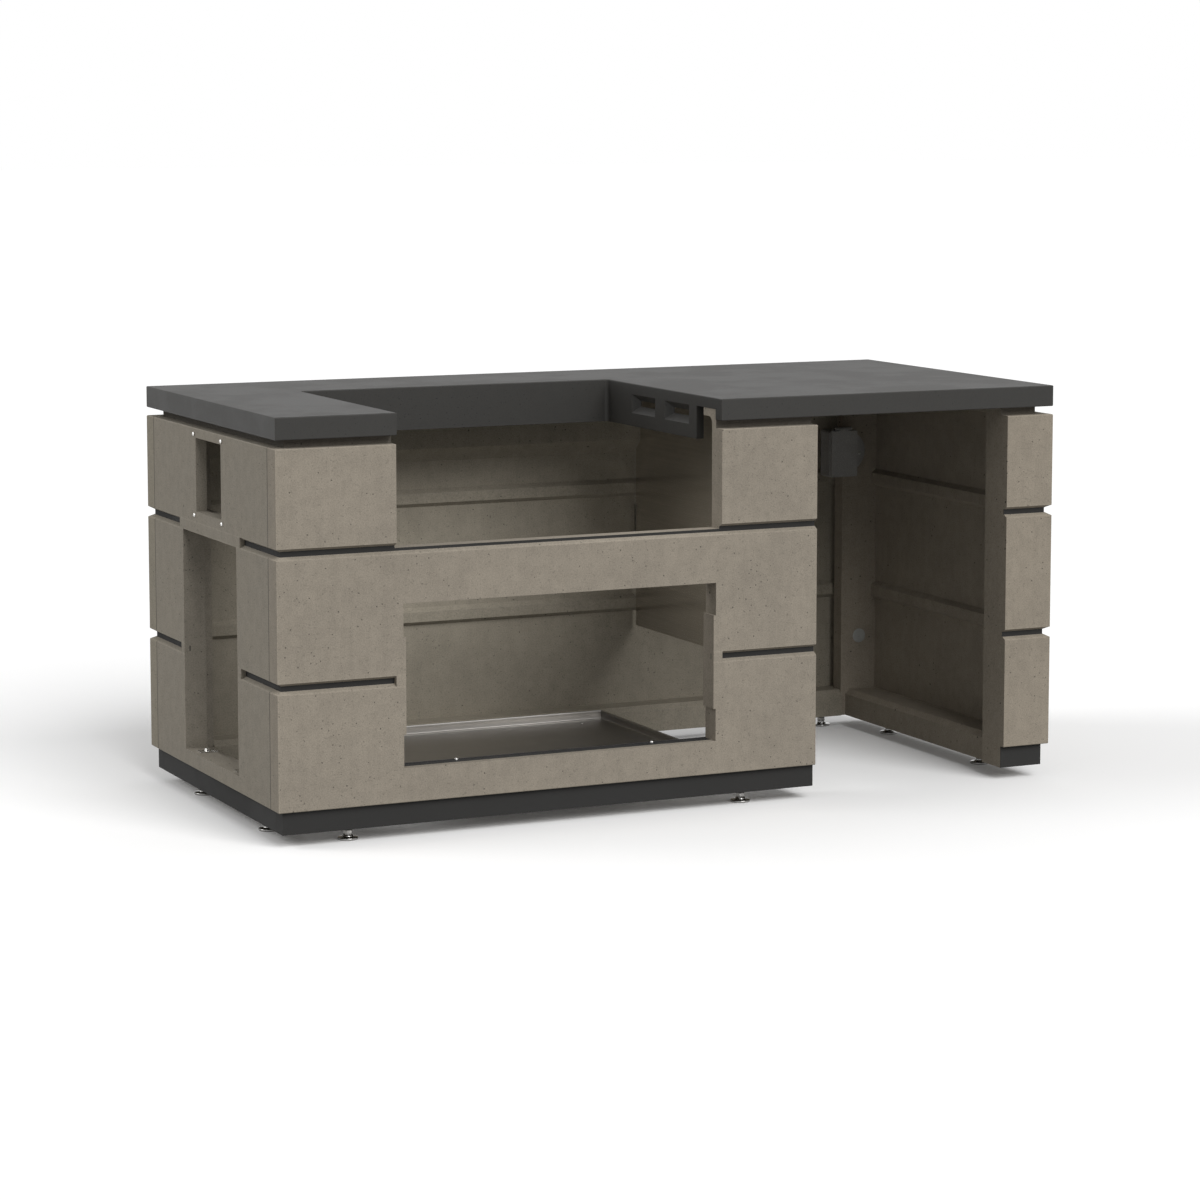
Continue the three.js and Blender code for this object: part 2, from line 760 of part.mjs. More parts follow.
// The divider. Its back edge stands just clear of the back panel's ridges and upper band.
function dividerBoard() {
  const x = frontLength - borderThickness - seam - dividerThickness;
  const front = borderThickness + seam;
  const crest = wallThickness + jointDepth + dividerClearance;
  const rim = topRimThickness + dividerClearance;
  const slopeDrop = dividerClearance * Math.hypot(1, topRimSlope) + dividerClearance;
  const slopeBase = slabUnderside - topRimDrop - slopeDrop - topRimSlope * (wallThickness + dividerClearance);
  const backEdge = [
    [crest, dividerLow],
    [crest, slopeBase + topRimSlope * crest],
    [rim, slopeBase + topRimSlope * rim],
    [rim, dividerTop - dividerCorner],
    [rim + dividerCorner, dividerTop],
  ];
  const section = outline([
    [front, dividerLow],
    ...backEdge.map(([inwards, up]) => [islandDepth - inwards, up]),
    [front + dividerCorner, dividerTop],
    [front, dividerTop - dividerCorner],
  ]);
  let board = alongX(section, x, x + dividerThickness);
  for (const height of dividerScrewHeights) {
    const hole = screwHole().rotate([0, -90, 0]);
    board = board.subtract(moved(hole, x, borderThickness + dividerScrewInset, height));
  }
  return board;
}

// The steel angle that ties the divider to the back panel, between its two ridges.
function dividerAngle() {
  const x = frontLength - borderThickness - seam;
  const y = islandDepth - wallThickness - seam;
  const middle = (jointCentres[0] + jointCentres[1]) / 2;
  const plan = outline([
    [x + seam, y - angleLeg - jointDepth],
    [x + seam + angleSheet, y - angleLeg - jointDepth],
    [x + seam + angleSheet, y - angleSheet],
    [x + seam + angleLeg, y - angleSheet],
    [x + seam + angleLeg, y],
    [x + seam, y],
  ]);
  return alongZ(plan, middle - angleLength / 2, middle + angleLength / 2);
}

// The storage tray: a shallow pan with upright sides.
function storageTray() {
  const { left, right, front, back, top } = trayBox();
  const floor = top - trayHeight;
  const pan = block([left, front, floor], [right, back, top]);
  const room = block(
    [left + traySheet, front + traySheet, floor + traySheet],
    [right - traySheet, back - traySheet, top + overrun],
  );
  return pan.subtract(room);
}

// The tray's outer limits.
function trayBox() {
  const front = borderThickness + seam;
  return {
    left: cutoutMiddle - doorWidth / 2 - trayPastDoor,
    right: cutoutMiddle + doorWidth / 2 - traySideInset,
    front,
    back: front + trayDepth,
    top: doorSill + trayRise,
  };
}

// An arm under the tray: a folded channel, open below, that stands on the front panel's rim.
function trayArm(x) {
  const { front, back, top } = trayBox();
  const high = top - trayHeight - seam;
  const low = footRimTop + seam;
  const half = trayArmWidth / 2;
  const channel = outline([
    [x - half, low],
    [x - half, high],
    [x + half, high],
    [x + half, low],
    [x + half - trayArmSheet, low],
    [x + half - trayArmSheet, high - trayArmSheet],
    [x - half + trayArmSheet, high - trayArmSheet],
    [x - half + trayArmSheet, low],
  ]);
  return alongY(channel, front, back - trayArmShort);
}

// A levelling foot's pad, with its socket boss.
function footPad() {
  return turned([
    [0, 0],
    [footPadRadius - footPadChamfer, 0],
    [footPadRadius, footPadChamfer],
    [footPadRadius, footPadHeight - 2 * footPadChamfer],
    [footPadRadius - 2 * footPadChamfer, footPadHeight],
    [0, footPadHeight],
  ], 24);
}

// A levelling foot's stem, with the hexagon that turns it.
function footStem() {
  const base = footPadHeight + seam;
  const hexBase = base + footBossHeight;
  const tip = base + footStemLength;
  return turned([
    [0, base],
    [footBossRadius, base],
    [footBossRadius, hexBase],
    [footStemRadius, hexBase],
    [footStemRadius, tip - footStemChamfer],
    [footStemRadius - footStemChamfer, tip],
    [0, tip],
  ], 16).add(hexagon(footHexWidth, hexBase, hexBase + footHexHeight));
}

// A pan-head screw, head above Z 0 and shank below.
function panScrew() {
  const seat = seam;
  const headRadius = screwHeadRadius;
  const headHeight = screwHeadHeight;
  return turned([
    [0, -screwShankLength],
    [screwShankRadius, -screwShankLength + screwShankRadius],
    [screwShankRadius, seat],
    [headRadius, seat],
    [headRadius, seat + headHeight * headSideShare],
    [headRadius * headFlatShare, seat + headHeight],
    [0, seat + headHeight],
  ], 12);
}

// Where the window's four screws go, along the left panel and up.
function windowScrewPlaces() {
  const across = windowWidth / 2 + windowScrewOut;
  const middle = windowSill + windowHeight / 2;
  const up = windowHeight / 2 + windowScrewOut;
  return [-1, 1].flatMap((side) => [-1, 1].map((end) => [sideMiddle + side * across, middle + end * up]));
}

// A clip over the service opening's sill: a strap that hooks down behind the wall.
function sillClip() {
  const inside = borderThickness + seam;
  const low = serviceSill + seam;
  const section = outline([
    [inside - clipLength, low],
    [inside - clipLength, low + clipSheet],
    [inside + clipSheet, low + clipSheet],
    [inside + clipSheet, low - clipDrop],
    [inside, low - clipDrop],
    [inside, low],
  ]);
  const strap = alongY(section, -clipWidth / 2, clipWidth / 2);
  const holeTop = serviceSill + clipSheet + overrun;
  const hole = bar(screwShankRadius + boltClearance, serviceSill - overrun, holeTop, 12);
  return strap.subtract(moved(hole, borderThickness - clipScrewInset, 0, 0));
}

// The hexagon screw that holds a sill clip, with its shank down in the wall.
function clipScrew() {
  const seat = clipSheet + 2 * seam;
  return bar(screwShankRadius, -screwShankLength, seat + seam, 12)
    .add(hexagon(2 * clipScrewRadius, seat, seat + clipScrewHeight));
}

// A joint bolt with its washer. Its head is above Z 0, on the floor of the pocket.
function jointBolt() {
  const grip = endReturnDepth - boltPocketDepth + seam + boltGrip;
  return bar(boltRadius, -grip, washerThickness)
    .add(bar(washerRadius, seam, seam + washerThickness, 20))
    .add(hexagon(boltHeadWidth, washerThickness, seam + washerThickness + boltHeadHeight));
}

// A cap that closes a bolt's pocket: a low dome on a hollow plug.
function boltCap() {
  const shank = boltPocketRadius - boltClearance;
  return turned([
    [0, seam],
    [shank - capPlugWall, seam],
    [shank - capPlugWall, -capShankDepth],
    [shank, -capShankDepth],
    [shank, seam],
    [capRadius, seam],
    [capRadius, seam + capHeight * capRimShare],
    [capRadius * capFlatShare, seam + capHeight],
    [0, seam + capHeight],
  ], 20);
}

// A rounded rectangle about the origin.
function roundedPlate(width, height, radius) {
  const w = width / 2;
  const h = height / 2;
  const plate = new THREE.Shape();
  plate.moveTo(-w + radius, -h);
  plate.lineTo(w - radius, -h);
  plate.absarc(w - radius, -h + radius, radius, -Math.PI / 2, 0);
  plate.lineTo(w, h - radius);
  plate.absarc(w - radius, h - radius, radius, 0, Math.PI / 2);
  plate.lineTo(-w + radius, h);
  plate.absarc(-w + radius, h - radius, radius, Math.PI / 2, Math.PI);
  plate.lineTo(-w, -h + radius);
  plate.absarc(-w + radius, -h + radius, radius, Math.PI, Math.PI * 3 / 2);
  return plate;
}

// The outlet's pieces are made about its middle, with their backs towards +Y.
const outletBoxDepth = outletDepth - outletPlateThickness - outletLidThickness;
const outletBack = -outletPlateThickness - seam;
const outletFront = outletBack - outletBoxDepth;
const hingeHeight = outletHeight / 2 + hingeRadius;
const hingeFront = outletFront - hingeProud;

// The round plate between the outlet box and the wall.
function outletPlate() {
  const plate = bar(outletPlateRadius, 0, outletPlateThickness, 40).rotate([90, 0, 0]);
  let cut = moved(plate, 0, -seam, 0);
  for (const side of [-1, 1]) {
    const hole = bar(screwShankRadius + boltClearance, -overrun, outletPlateThickness + overrun, 12);
    const across = side * (outletPlateRadius - plateScrewInset);
    cut = cut.subtract(moved(hole.rotate([90, 0, 0]), across, 0, -side * plateScrewDrop));
  }
  return cut;
}

// The cast outlet box, open to the front, with two hinge ears on its top edge.
function outletBox() {
  const cavity = roundedPlate(
    outletWidth - 2 * outletWall, outletHeight - 2 * outletWall, outletCorner - outletWall,
  );
  let box = alongY(roundedPlate(outletWidth, outletHeight, outletCorner), outletFront, outletBack)
    .subtract(alongY(cavity, outletFront - overrun, outletBack - outletWall));
  for (const side of [-1, 1]) {
    const outer = side * hingeSpread / 2;
    const inner = outer - side * hingeEarWidth;
    const [from, to] = side < 0 ? [outer, inner] : [inner, outer];
    const ear = bar(hingeRadius, from, to, 16).rotate([0, 90, 0]);
    const foot = block(
      [from, outletFront, outletHeight / 2 - outletWall],
      [to, outletFront + 2 * hingeRadius, hingeHeight],
    );
    box = box.add(moved(ear, 0, hingeFront, hingeHeight)).add(foot);
  }
  const bore = bar(hingePinRadius + hingeClearance / 2, -hingeSpread, hingeSpread, 12).rotate([0, 90, 0]);
  return box.subtract(moved(bore, 0, hingeFront, hingeHeight)).subtract(lidSweep());
}

// The room round the hinge's middle that the lid's knuckle turns in.
function lidSweep() {
  const half = hingeSpread / 2 - hingeEarWidth + hingeClearance;
  const round = bar(hingeRadius + hingeClearance, -half, half, 16).rotate([0, 90, 0]);
  return moved(round, 0, hingeFront, hingeHeight);
}

// The receptacle in the box: two round faces, each with two slots and an earth hole.
function outletReceptacle() {
  const width = outletWidth - 2 * outletWall - 2 * receptacleGap;
  const height = outletHeight - 2 * outletWall - 2 * receptacleGap;
  const back = outletBack - outletWall - seam;
  const front = back - receptacleDepth;
  let body = alongY(roundedPlate(width, height, receptacleCorner), front, back);
  for (const side of [-1, 1]) {
    const face = bar(receptacleRadius, 0, receptacleFaceRise, 28).rotate([90, 0, 0]);
    body = body.add(moved(face, 0, front + seam, side * receptaclePitch / 2));
    for (const hand of [-1, 1]) {
      const x = hand * outletSlotPitch / 2;
      const z = side * receptaclePitch / 2 + outletSlotRise;
      body = body.subtract(block(
        [x - outletSlotWidth / 2, front - overrun, z - outletSlotHeight / 2],
        [x + outletSlotWidth / 2, front + outletSlotDepth, z + outletSlotHeight / 2],
      ));
    }
    const earth = bar(earthRadius, -outletSlotDepth, overrun, 12).rotate([90, 0, 0]);
    body = body.subtract(moved(earth, 0, front, side * receptaclePitch / 2 - earthDrop));
  }
  return body;
}

// The outlet's flip lid: a dished plate on a narrower neck, hung from a knuckle between the ears.
function outletLid() {
  const back = outletFront - seam;
  const front = back - outletLidThickness + seam;
  const inside = (inset, radius) => roundedPlate(outletWidth - 2 * inset, outletHeight - 2 * inset, radius);
  const neckInset = outletLidInset + outletLidNeckInset;
  const plate = alongY(inside(outletLidInset, outletLidCorner), front, back - outletLidNeck)
    .add(alongY(inside(neckInset, outletLidCorner), front + seam, back));
  const dish = inside(neckInset + outletWall, outletLidCorner);
  const half = hingeSpread / 2 - hingeEarWidth - hingeClearance;
  const knuckle = moved(bar(hingeRadius, -half, half, 16).rotate([0, 90, 0]), 0, hingeFront, hingeHeight);
  const web = block(
    [-half, front + seam, outletHeight / 2 - hingeRadius],
    [half, back, hingeHeight],
  );
  const bore = bar(hingePinRadius + hingeClearance / 2, -hingeSpread, hingeSpread, 12).rotate([0, 90, 0]);
  const earGap = hingeSpread / 2 + hingeClearance;
  const earRoom = moved(
    bar(hingeRadius + hingeClearance, -earGap, earGap, 16).rotate([0, 90, 0]), 0, hingeFront, hingeHeight,
  );
  const finger = bar(outletWidth, 0, overrun, 32).rotate([90, 0, 0]);
  const pull = moved(finger, 0, front + seam, -outletHeight / 2 - outletWidth + outletWall);
  return plate
    .subtract(alongY(dish, back - outletLidDish, back + overrun))
    .subtract(earRoom)
    .subtract(pull)
    .add(web.add(knuckle))
    .subtract(moved(bore, 0, hingeFront, hingeHeight));
}

// The hinge pin through the ears and the knuckle.
function hingePin() {
  const half = hingeSpread / 2;
  return moved(bar(hingePinRadius, -half, half, 12).rotate([0, 90, 0]), 0, hingeFront, hingeHeight);
}

// Finishes, as colour, roughness and metalness.
const finish = (colour, roughness, metalness) =>
  new THREE.MeshStandardMaterial({ color: colour, roughness, metalness });
const blockConcrete = finish(0x948c7f, 0.85, 0);
const counterConcrete = finish(0x585653, 0.7, 0);
const dividerSteel = finish(0xb6b3ad, 0.3, 1);
const stainlessSteel = finish(0xc9c8c4, 0.3, 1);
const polishedSteel = finish(0xd6d5d2, 0.2, 1);
const zincSteel = finish(0xb4b3ae, 0.4, 1);
const darkPaint = finish(0x3c3c3d, 0.6, 0.2);
const greyPlastic = finish(0x8d8b86, 0.5, 0);

const island = new THREE.Group();

// Adds a solid to a group as a named mesh.
function place(group, name, solid, material) {
  const mesh = new THREE.Mesh(geometryOf(solid), material);
  mesh.name = name;
  group.add(mesh);
  return mesh;
}

// A group turned about the vertical, with its origin at a place on the island.
function turnedGroup(x, y, turn) {
  const group = new THREE.Group();
  group.position.set(x, y, 0);
  group.rotation.z = turn;
  island.add(group);
  return group;
}

// The four panels, each in a frame that lies along its outside face.
const leftFrame = turnedGroup(0, islandDepth - borderThickness - seam, -Math.PI / 2);
const rightFrame = turnedGroup(islandLength, 0, Math.PI / 2);
const backFrame = turnedGroup(islandLength, islandDepth, Math.PI);
place(island, "front_panel", frontPanel(), blockConcrete);
place(leftFrame, "left_panel", leftPanel(), blockConcrete);
place(rightFrame, "right_panel", rightPanel(), blockConcrete);
place(backFrame, "back_panel", backPanel(), blockConcrete);
place(island, "countertop", countertop(), counterConcrete);

// The divider and what holds it.
place(island, "divider_board", dividerBoard(), dividerSteel);
place(island, "divider_angle", dividerAngle(), zincSteel);
dividerScrewHeights.forEach((height, index) => {
  const screw = place(island, `divider_screw_${index + 1}`, panScrew(), zincSteel);
  const x = frontLength - borderThickness - seam - dividerThickness;
  screw.position.set(x, borderThickness + dividerScrewInset, height);
  screw.rotation.y = -Math.PI / 2;
});

// The tray on its arms.
place(island, "storage_tray", storageTray(), stainlessSteel);
place(island, "tray_arm_left", trayArm(trayBox().left + trayArmInset), zincSteel);
place(island, "tray_arm_right", trayArm(trayBox().right - trayArmInset), zincSteel);

// The levelling feet, by the panel that each is screwed into.
const footPlaces = {
  front_left: [footEndDistance, footEdgeDistance],
  front_right: [frontLength - footPierDistance, footEdgeDistance],
  left_front: [sideFootEdgeDistance, sideFootEndDistance],
  left_back: [sideFootEdgeDistance, islandDepth - sideFootEndDistance],
  right_front: [islandLength - sideFootEdgeDistance, sideFootEndDistance],
  right_back: [islandLength - sideFootEdgeDistance, islandDepth - sideFootEndDistance],
  back_left: [backFootEndDistance, islandDepth - backFootEdgeDistance],
  back_right: [islandLength - backFootEndDistance, islandDepth - backFootEdgeDistance],
};
for (const [name, [x, y]] of Object.entries(footPlaces)) {
  const foot = turnedGroup(x, y, 0);
  place(foot, `foot_pad_${name}`, footPad(), polishedSteel);
  place(foot, `foot_stem_${name}`, footStem(), zincSteel);
}

// The joint bolts and their caps. The outlet covers one pocket, which needs no cap.
const outletHeightOnWall = boltHeights[1];
for (const [name, x, y, turn] of [
  ["front_left", boltEdgeDistance, borderThickness + seam + endReturnDepth, -1],
  ["back_left", boltEdgeDistance, frontOfRearReturn, 1],
  ["back_right", islandLength - boltEdgeDistance, frontOfRearReturn, 1],
]) {
  boltHeights.forEach((height, index) => {
    const level = index === 0 ? "low" : "high";
    const bolt = place(island, `joint_bolt_${name}_${level}`, jointBolt(), zincSteel);
    bolt.position.set(x, y + turn * boltPocketDepth, blockBase + height);
    bolt.rotation.x = (turn * Math.PI) / 2;
    if (name === "back_right" && index === 1) return;
    const cap = place(island, `bolt_cap_${name}_${level}`, boltCap(), greyPlastic);
    cap.position.set(x, y, blockBase + height);
    cap.rotation.x = (turn * Math.PI) / 2;
  });
}

// The power outlet on the right panel's back end.
const outlet = new THREE.Group();
outlet.position.set(bayRight + outletFromBay, frontOfRearReturn, blockBase + outletHeightOnWall);
island.add(outlet);
const shifted = (solid) => moved(solid, -outletBoxShift, 0, 0);
place(outlet, "outlet_plate", outletPlate(), darkPaint);
place(outlet, "outlet_box", shifted(outletBox()), darkPaint);
place(outlet, "outlet_receptacle", shifted(outletReceptacle()), greyPlastic);
place(outlet, "outlet_lid", shifted(outletLid()), darkPaint);
place(outlet, "outlet_hinge_pin", shifted(hingePin()), zincSteel);

// Screws round the window, in the left panel's frame.
windowScrewPlaces().forEach(([x, z], index) => {
  const screw = place(leftFrame, `window_screw_${index + 1}`, panScrew(), stainlessSteel);
  screw.position.set(x, 0, z);
  screw.rotation.x = Math.PI / 2;
});

// Screws in the door opening: two stand on the sill and two hang from the head.
for (const [name, side] of [["left", -1], ["right", 1]]) {
  const x = cutoutMiddle + side * doorScrewSpread;
  const low = place(island, `door_screw_sill_${name}`, panScrew(), stainlessSteel);
  low.position.set(x, doorScrewDepth, doorSill);
  const high = place(island, `door_screw_head_${name}`, panScrew(), stainlessSteel);
  high.position.set(x, doorScrewDepth, doorSill + doorHeight);
  high.rotation.x = Math.PI;
}

// The clips on the service opening's sill.
for (const [name, side] of [["front", -1], ["back", 1]]) {
  const y = islandDepth / 2 + side * clipSpread;
  place(island, `sill_clip_${name}`, sillClip(), stainlessSteel).position.y = y;
  const screw = place(island, `sill_clip_screw_${name}`, clipScrew(), stainlessSteel);
  screw.position.set(borderThickness - clipScrewInset, y, serviceSill);
}

island.position.set(-islandLength / 2, -islandDepth / 2, 0);
const part = new THREE.Group();
part.add(island);

export default part;
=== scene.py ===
"""Dresses the packed outdoor kitchen island: castings, countertop, tray, feet, fasteners, outlet.

Metres, in the frame of the packed model: X along the front, Y from the front to the back, Z up
from the ground. Every size that follows another piece is read from that piece's box.
"""

import math

import bpy
import numpy as np
from bpy.props import FloatProperty, FloatVectorProperty, IntProperty, PointerProperty
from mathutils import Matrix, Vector


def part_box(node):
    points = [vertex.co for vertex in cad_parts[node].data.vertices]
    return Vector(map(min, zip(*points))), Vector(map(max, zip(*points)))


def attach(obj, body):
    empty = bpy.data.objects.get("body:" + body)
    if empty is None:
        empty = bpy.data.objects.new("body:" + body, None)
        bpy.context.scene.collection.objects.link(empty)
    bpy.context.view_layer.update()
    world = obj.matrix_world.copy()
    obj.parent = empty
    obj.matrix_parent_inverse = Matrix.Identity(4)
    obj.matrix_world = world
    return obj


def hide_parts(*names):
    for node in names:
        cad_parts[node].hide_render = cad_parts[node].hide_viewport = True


bl_info = {
    "name": "Outdoor Kitchen Island",
    "version": (1, 0, 0),
    "blender": (4, 5, 0),
    "location": "3D View > Sidebar > Kitchen Island",
    "description": "Finishes the castings, tray, feet and fasteners of an outdoor kitchen island",
    "category": "Object",
}

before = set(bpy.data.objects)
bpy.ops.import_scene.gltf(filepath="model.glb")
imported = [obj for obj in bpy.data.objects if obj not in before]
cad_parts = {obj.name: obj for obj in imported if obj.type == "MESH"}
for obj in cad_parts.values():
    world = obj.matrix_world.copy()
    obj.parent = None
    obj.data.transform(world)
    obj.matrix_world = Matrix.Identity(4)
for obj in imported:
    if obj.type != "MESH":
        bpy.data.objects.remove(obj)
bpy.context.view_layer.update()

MM = 0.001
UP = (0, 0, 1)
PANELS = ("front_panel", "left_panel", "right_panel", "back_panel")
FEET = (
    "front_left", "front_right", "left_front", "left_back",
    "right_front", "right_back", "back_left", "back_right",
)
BOLTED_CORNERS = ("front_left", "back_left", "back_right")
FINE_EDGE = 0.3 * MM
RIVET_FROM_FRONT = 30 * MM
RIVET_FROM_BACK = 45 * MM
TAPE_HEIGHT = 0.22 * MM
TAPE_GAP = 0.2 * MM
SCREW_SIDES = 36
HEXAGON_SIDES = 48
SMALL_SIDES = 24


def corners(node):
    """The lowest and highest corner of a CAD node as two arrays."""
    low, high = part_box(node)
    return np.array(low), np.array(high)


def middle(node):
    """The middle of a CAD node's box."""
    low, high = corners(node)
    return (low + high) / 2


def kind_of_setting(make, **options):
    """A short form for settings of one kind, to be called with a name, description and default."""

    def setting(name, description, default):
        return make(name=name, description=description, default=default, **options)

    return setting


a_colour = kind_of_setting(FloatVectorProperty, subtype="COLOR", size=3, min=0, max=1)
a_length = kind_of_setting(FloatProperty, subtype="DISTANCE", unit="LENGTH", min=0, max=1)
an_angle = kind_of_setting(FloatProperty, subtype="ANGLE", unit="ROTATION")
a_place = kind_of_setting(FloatVectorProperty, subtype="TRANSLATION", unit="LENGTH", size=3)
a_direction = kind_of_setting(FloatVectorProperty, subtype="DIRECTION", size=3)
a_strength = kind_of_setting(FloatProperty, min=0, max=20)
a_lens = kind_of_setting(FloatProperty, min=10, max=300)
a_shift = kind_of_setting(FloatProperty, min=-1, max=1)
a_count = kind_of_setting(IntProperty, min=12, max=128)


class ConcreteSettings(bpy.types.PropertyGroup):
    """Sizes and colours of the concrete castings."""

    block_light: a_colour(
        "Block colour, light", "Lighter clouds of the block faces", (0.318, 0.28, 0.227),
    )
    block_dark: a_colour(
        "Block colour, dark", "Darker clouds of the block faces", (0.207, 0.182, 0.147),
    )
    counter_light: a_colour(
        "Counter colour, light", "Lighter clouds of the countertop", (0.0265, 0.0252, 0.0225),
    )
    counter_dark: a_colour(
        "Counter colour, dark", "Darker clouds of the countertop", (0.021, 0.02, 0.018),
    )
    recess_colour: a_colour(
        "Recess colour", "Coating on the plinth, the joint floors and the tongue",
        (0.0215, 0.021, 0.0202),
    )
    edge_radius: a_length("Edge radius", "Rounding of the castings' edges", 1.4 * MM)
    cloud_size: a_length("Cloud size", "Width of the soft colour clouds", 160 * MM)
    hole_spacing: a_length(
        "Air hole spacing", "Mean distance between the air holes of the castings", 14 * MM,
    )
    hole_radius: a_length("Air hole radius", "Radius of the largest air holes", 2.6 * MM)
    plinth_inset: a_length(
        "Plinth inset", "Depth of the plinth and the joint floors behind the blocks", 12.7 * MM,
    )
    tongue_inset: a_length("Tongue inset", "Depth of the dark line under the countertop", 30 * MM)
    plinth_top: a_length("Plinth top", "Height of the lowest blocks' underside", 80 * MM)
    low_joint: a_length("Low joint", "Height of the lower course joint", 342.5 * MM)
    high_joint: a_length("High joint", "Height of the upper course joint", 626 * MM)
    block_top: a_length("Block top", "Height of the top blocks' upper edge", 847.5 * MM)
    joint_height: a_length("Joint height", "Height of a course joint at the face", 24 * MM)
    joint_floor: a_length("Joint floor", "Height of a course joint's floor", 10.5 * MM)


class SteelSettings(bpy.types.PropertyGroup):
    """Sizes and colours of the tray, the feet and the fasteners."""

    sheet_colour: a_colour("Sheet colour", "Brushed stainless sheet", (0.31, 0.297, 0.28))
    divider_colour: a_colour(
        "Divider colour", "Stainless sheet between the grill and the bay", (0.82, 0.795, 0.76),
    )
    turned_colour: a_colour(
        "Turned steel colour", "Polished screw heads, clips and rivets", (0.82, 0.81, 0.79),
    )
    # Much darker than the polished steel of the screws: painted shade for the dark underside that the
    # polished pads mirror.
    pad_colour_with_painted_shade: a_colour(
        "Pad colour", "Polished feet, which mirror the shade under the island",
        (0.36, 0.355, 0.345),
    )
    zinc_colour: a_colour("Zinc colour", "Plated bolts, stems and brackets", (0.5, 0.49, 0.47))
    sheet_thickness: a_length("Tray sheet", "Thickness of the tray's sheet", 2 * MM)
    tray_hem: a_length("Tray hem", "Height of the fold that stiffens the tray's upper edge", 5 * MM)
    bend_radius: a_length("Bend radius", "Inside radius of the folds", 2 * MM)
    rivet_radius: a_length("Rivet radius", "Radius of the rivet heads", 3 * MM)
    thread_pitch: a_length("Thread pitch", "Rise of the feet's threads in one turn", 1.5 * MM)
    thread_depth: a_length("Thread depth", "Depth of the feet's threads", 0.8 * MM)
    turned_sides: a_count("Sides of turned pieces", "Points round a turned piece", 48)
    head_height: a_length("Screw head", "Height of the pan heads", 4.2 * MM)
    tape_reach: a_length(
        "Tape reach", "How far the sill's tape runs beyond the middles of its screws", 136 * MM,
    )
    tape_width: a_length("Tape width", "Width of the tape on the sill", 28.5 * MM)
    strap_thickness: a_length("Clip strap", "Thickness of the sill clips", 2.5 * MM)


class OutletSettings(bpy.types.PropertyGroup):
    """Sizes and colours of the power outlet and the plastic caps."""

    casting_colour: a_colour(
        "Casting colour", "Textured coat on the outlet's box, plate and lid", (0.26, 0.255, 0.247),
    )
    plastic_colour: a_colour("Plastic colour", "Receptacle and bolt caps", (0.34, 0.345, 0.33))
    edge_radius: a_length("Edge radius", "Rounding of the outlet's edges", 0.8 * MM)
    screw_reach: a_length(
        "Plate screw reach", "Distance of the plate's screw to the right of its middle", 36.5 * MM,
    )
    screw_drop: a_length("Plate screw drop", "Distance of the plate's screw below its middle", 6.5 * MM)


class StageSettings(bpy.types.PropertyGroup):
    """Camera, floor and lights."""

    camera_place: a_place("Camera place", "Where the camera stands", (-3.408, -7.272, 1.590))
    camera_pitch: an_angle("Camera pitch", "How far the camera looks down", math.radians(6.597))
    camera_turn: an_angle(
        "Camera turn", "How far the camera is turned to the right of the Y axis",
        math.radians(25.102),
    )
    lens: a_lens("Lens", "Focal length on a 36 mm sensor, in millimetres", 105.46)
    shift: a_shift("Vertical shift", "Camera shift as a share of the frame", -0.0873)
    floor_colour: a_colour("Floor colour", "Pale floor where it is seen directly", (0.96, 0.96, 0.96))
    floor_bounce: a_colour(
        "Floor bounce", "Colour of the floor for the light that it throws back",
        (0.26, 0.26, 0.255),
    )
    floor_lift: a_strength("Floor lift", "Even light that the floor adds to what it throws back", 0.04)
    world_strength: a_strength("World strength", "Even light from all round", 0.42)
    key_strength: a_strength("Key strength", "Strength of the soft lamp at the front", 2.45)
    key_direction: a_direction(
        "Key direction", "Direction to the lamp at the front", (0.11, -0.78, 0.62),
    )
    key_spread: an_angle("Key spread", "Apparent width of the lamp at the front", math.radians(40))
    fill_strength: a_strength("Fill strength", "Strength of the soft lamp at the left", 0.92)
    fill_direction: a_direction(
        "Fill direction", "Direction to the lamp at the left", (-0.77, 0.28, 0.57),
    )
    fill_spread: an_angle("Fill spread", "Apparent width of the lamp at the left", math.radians(30))


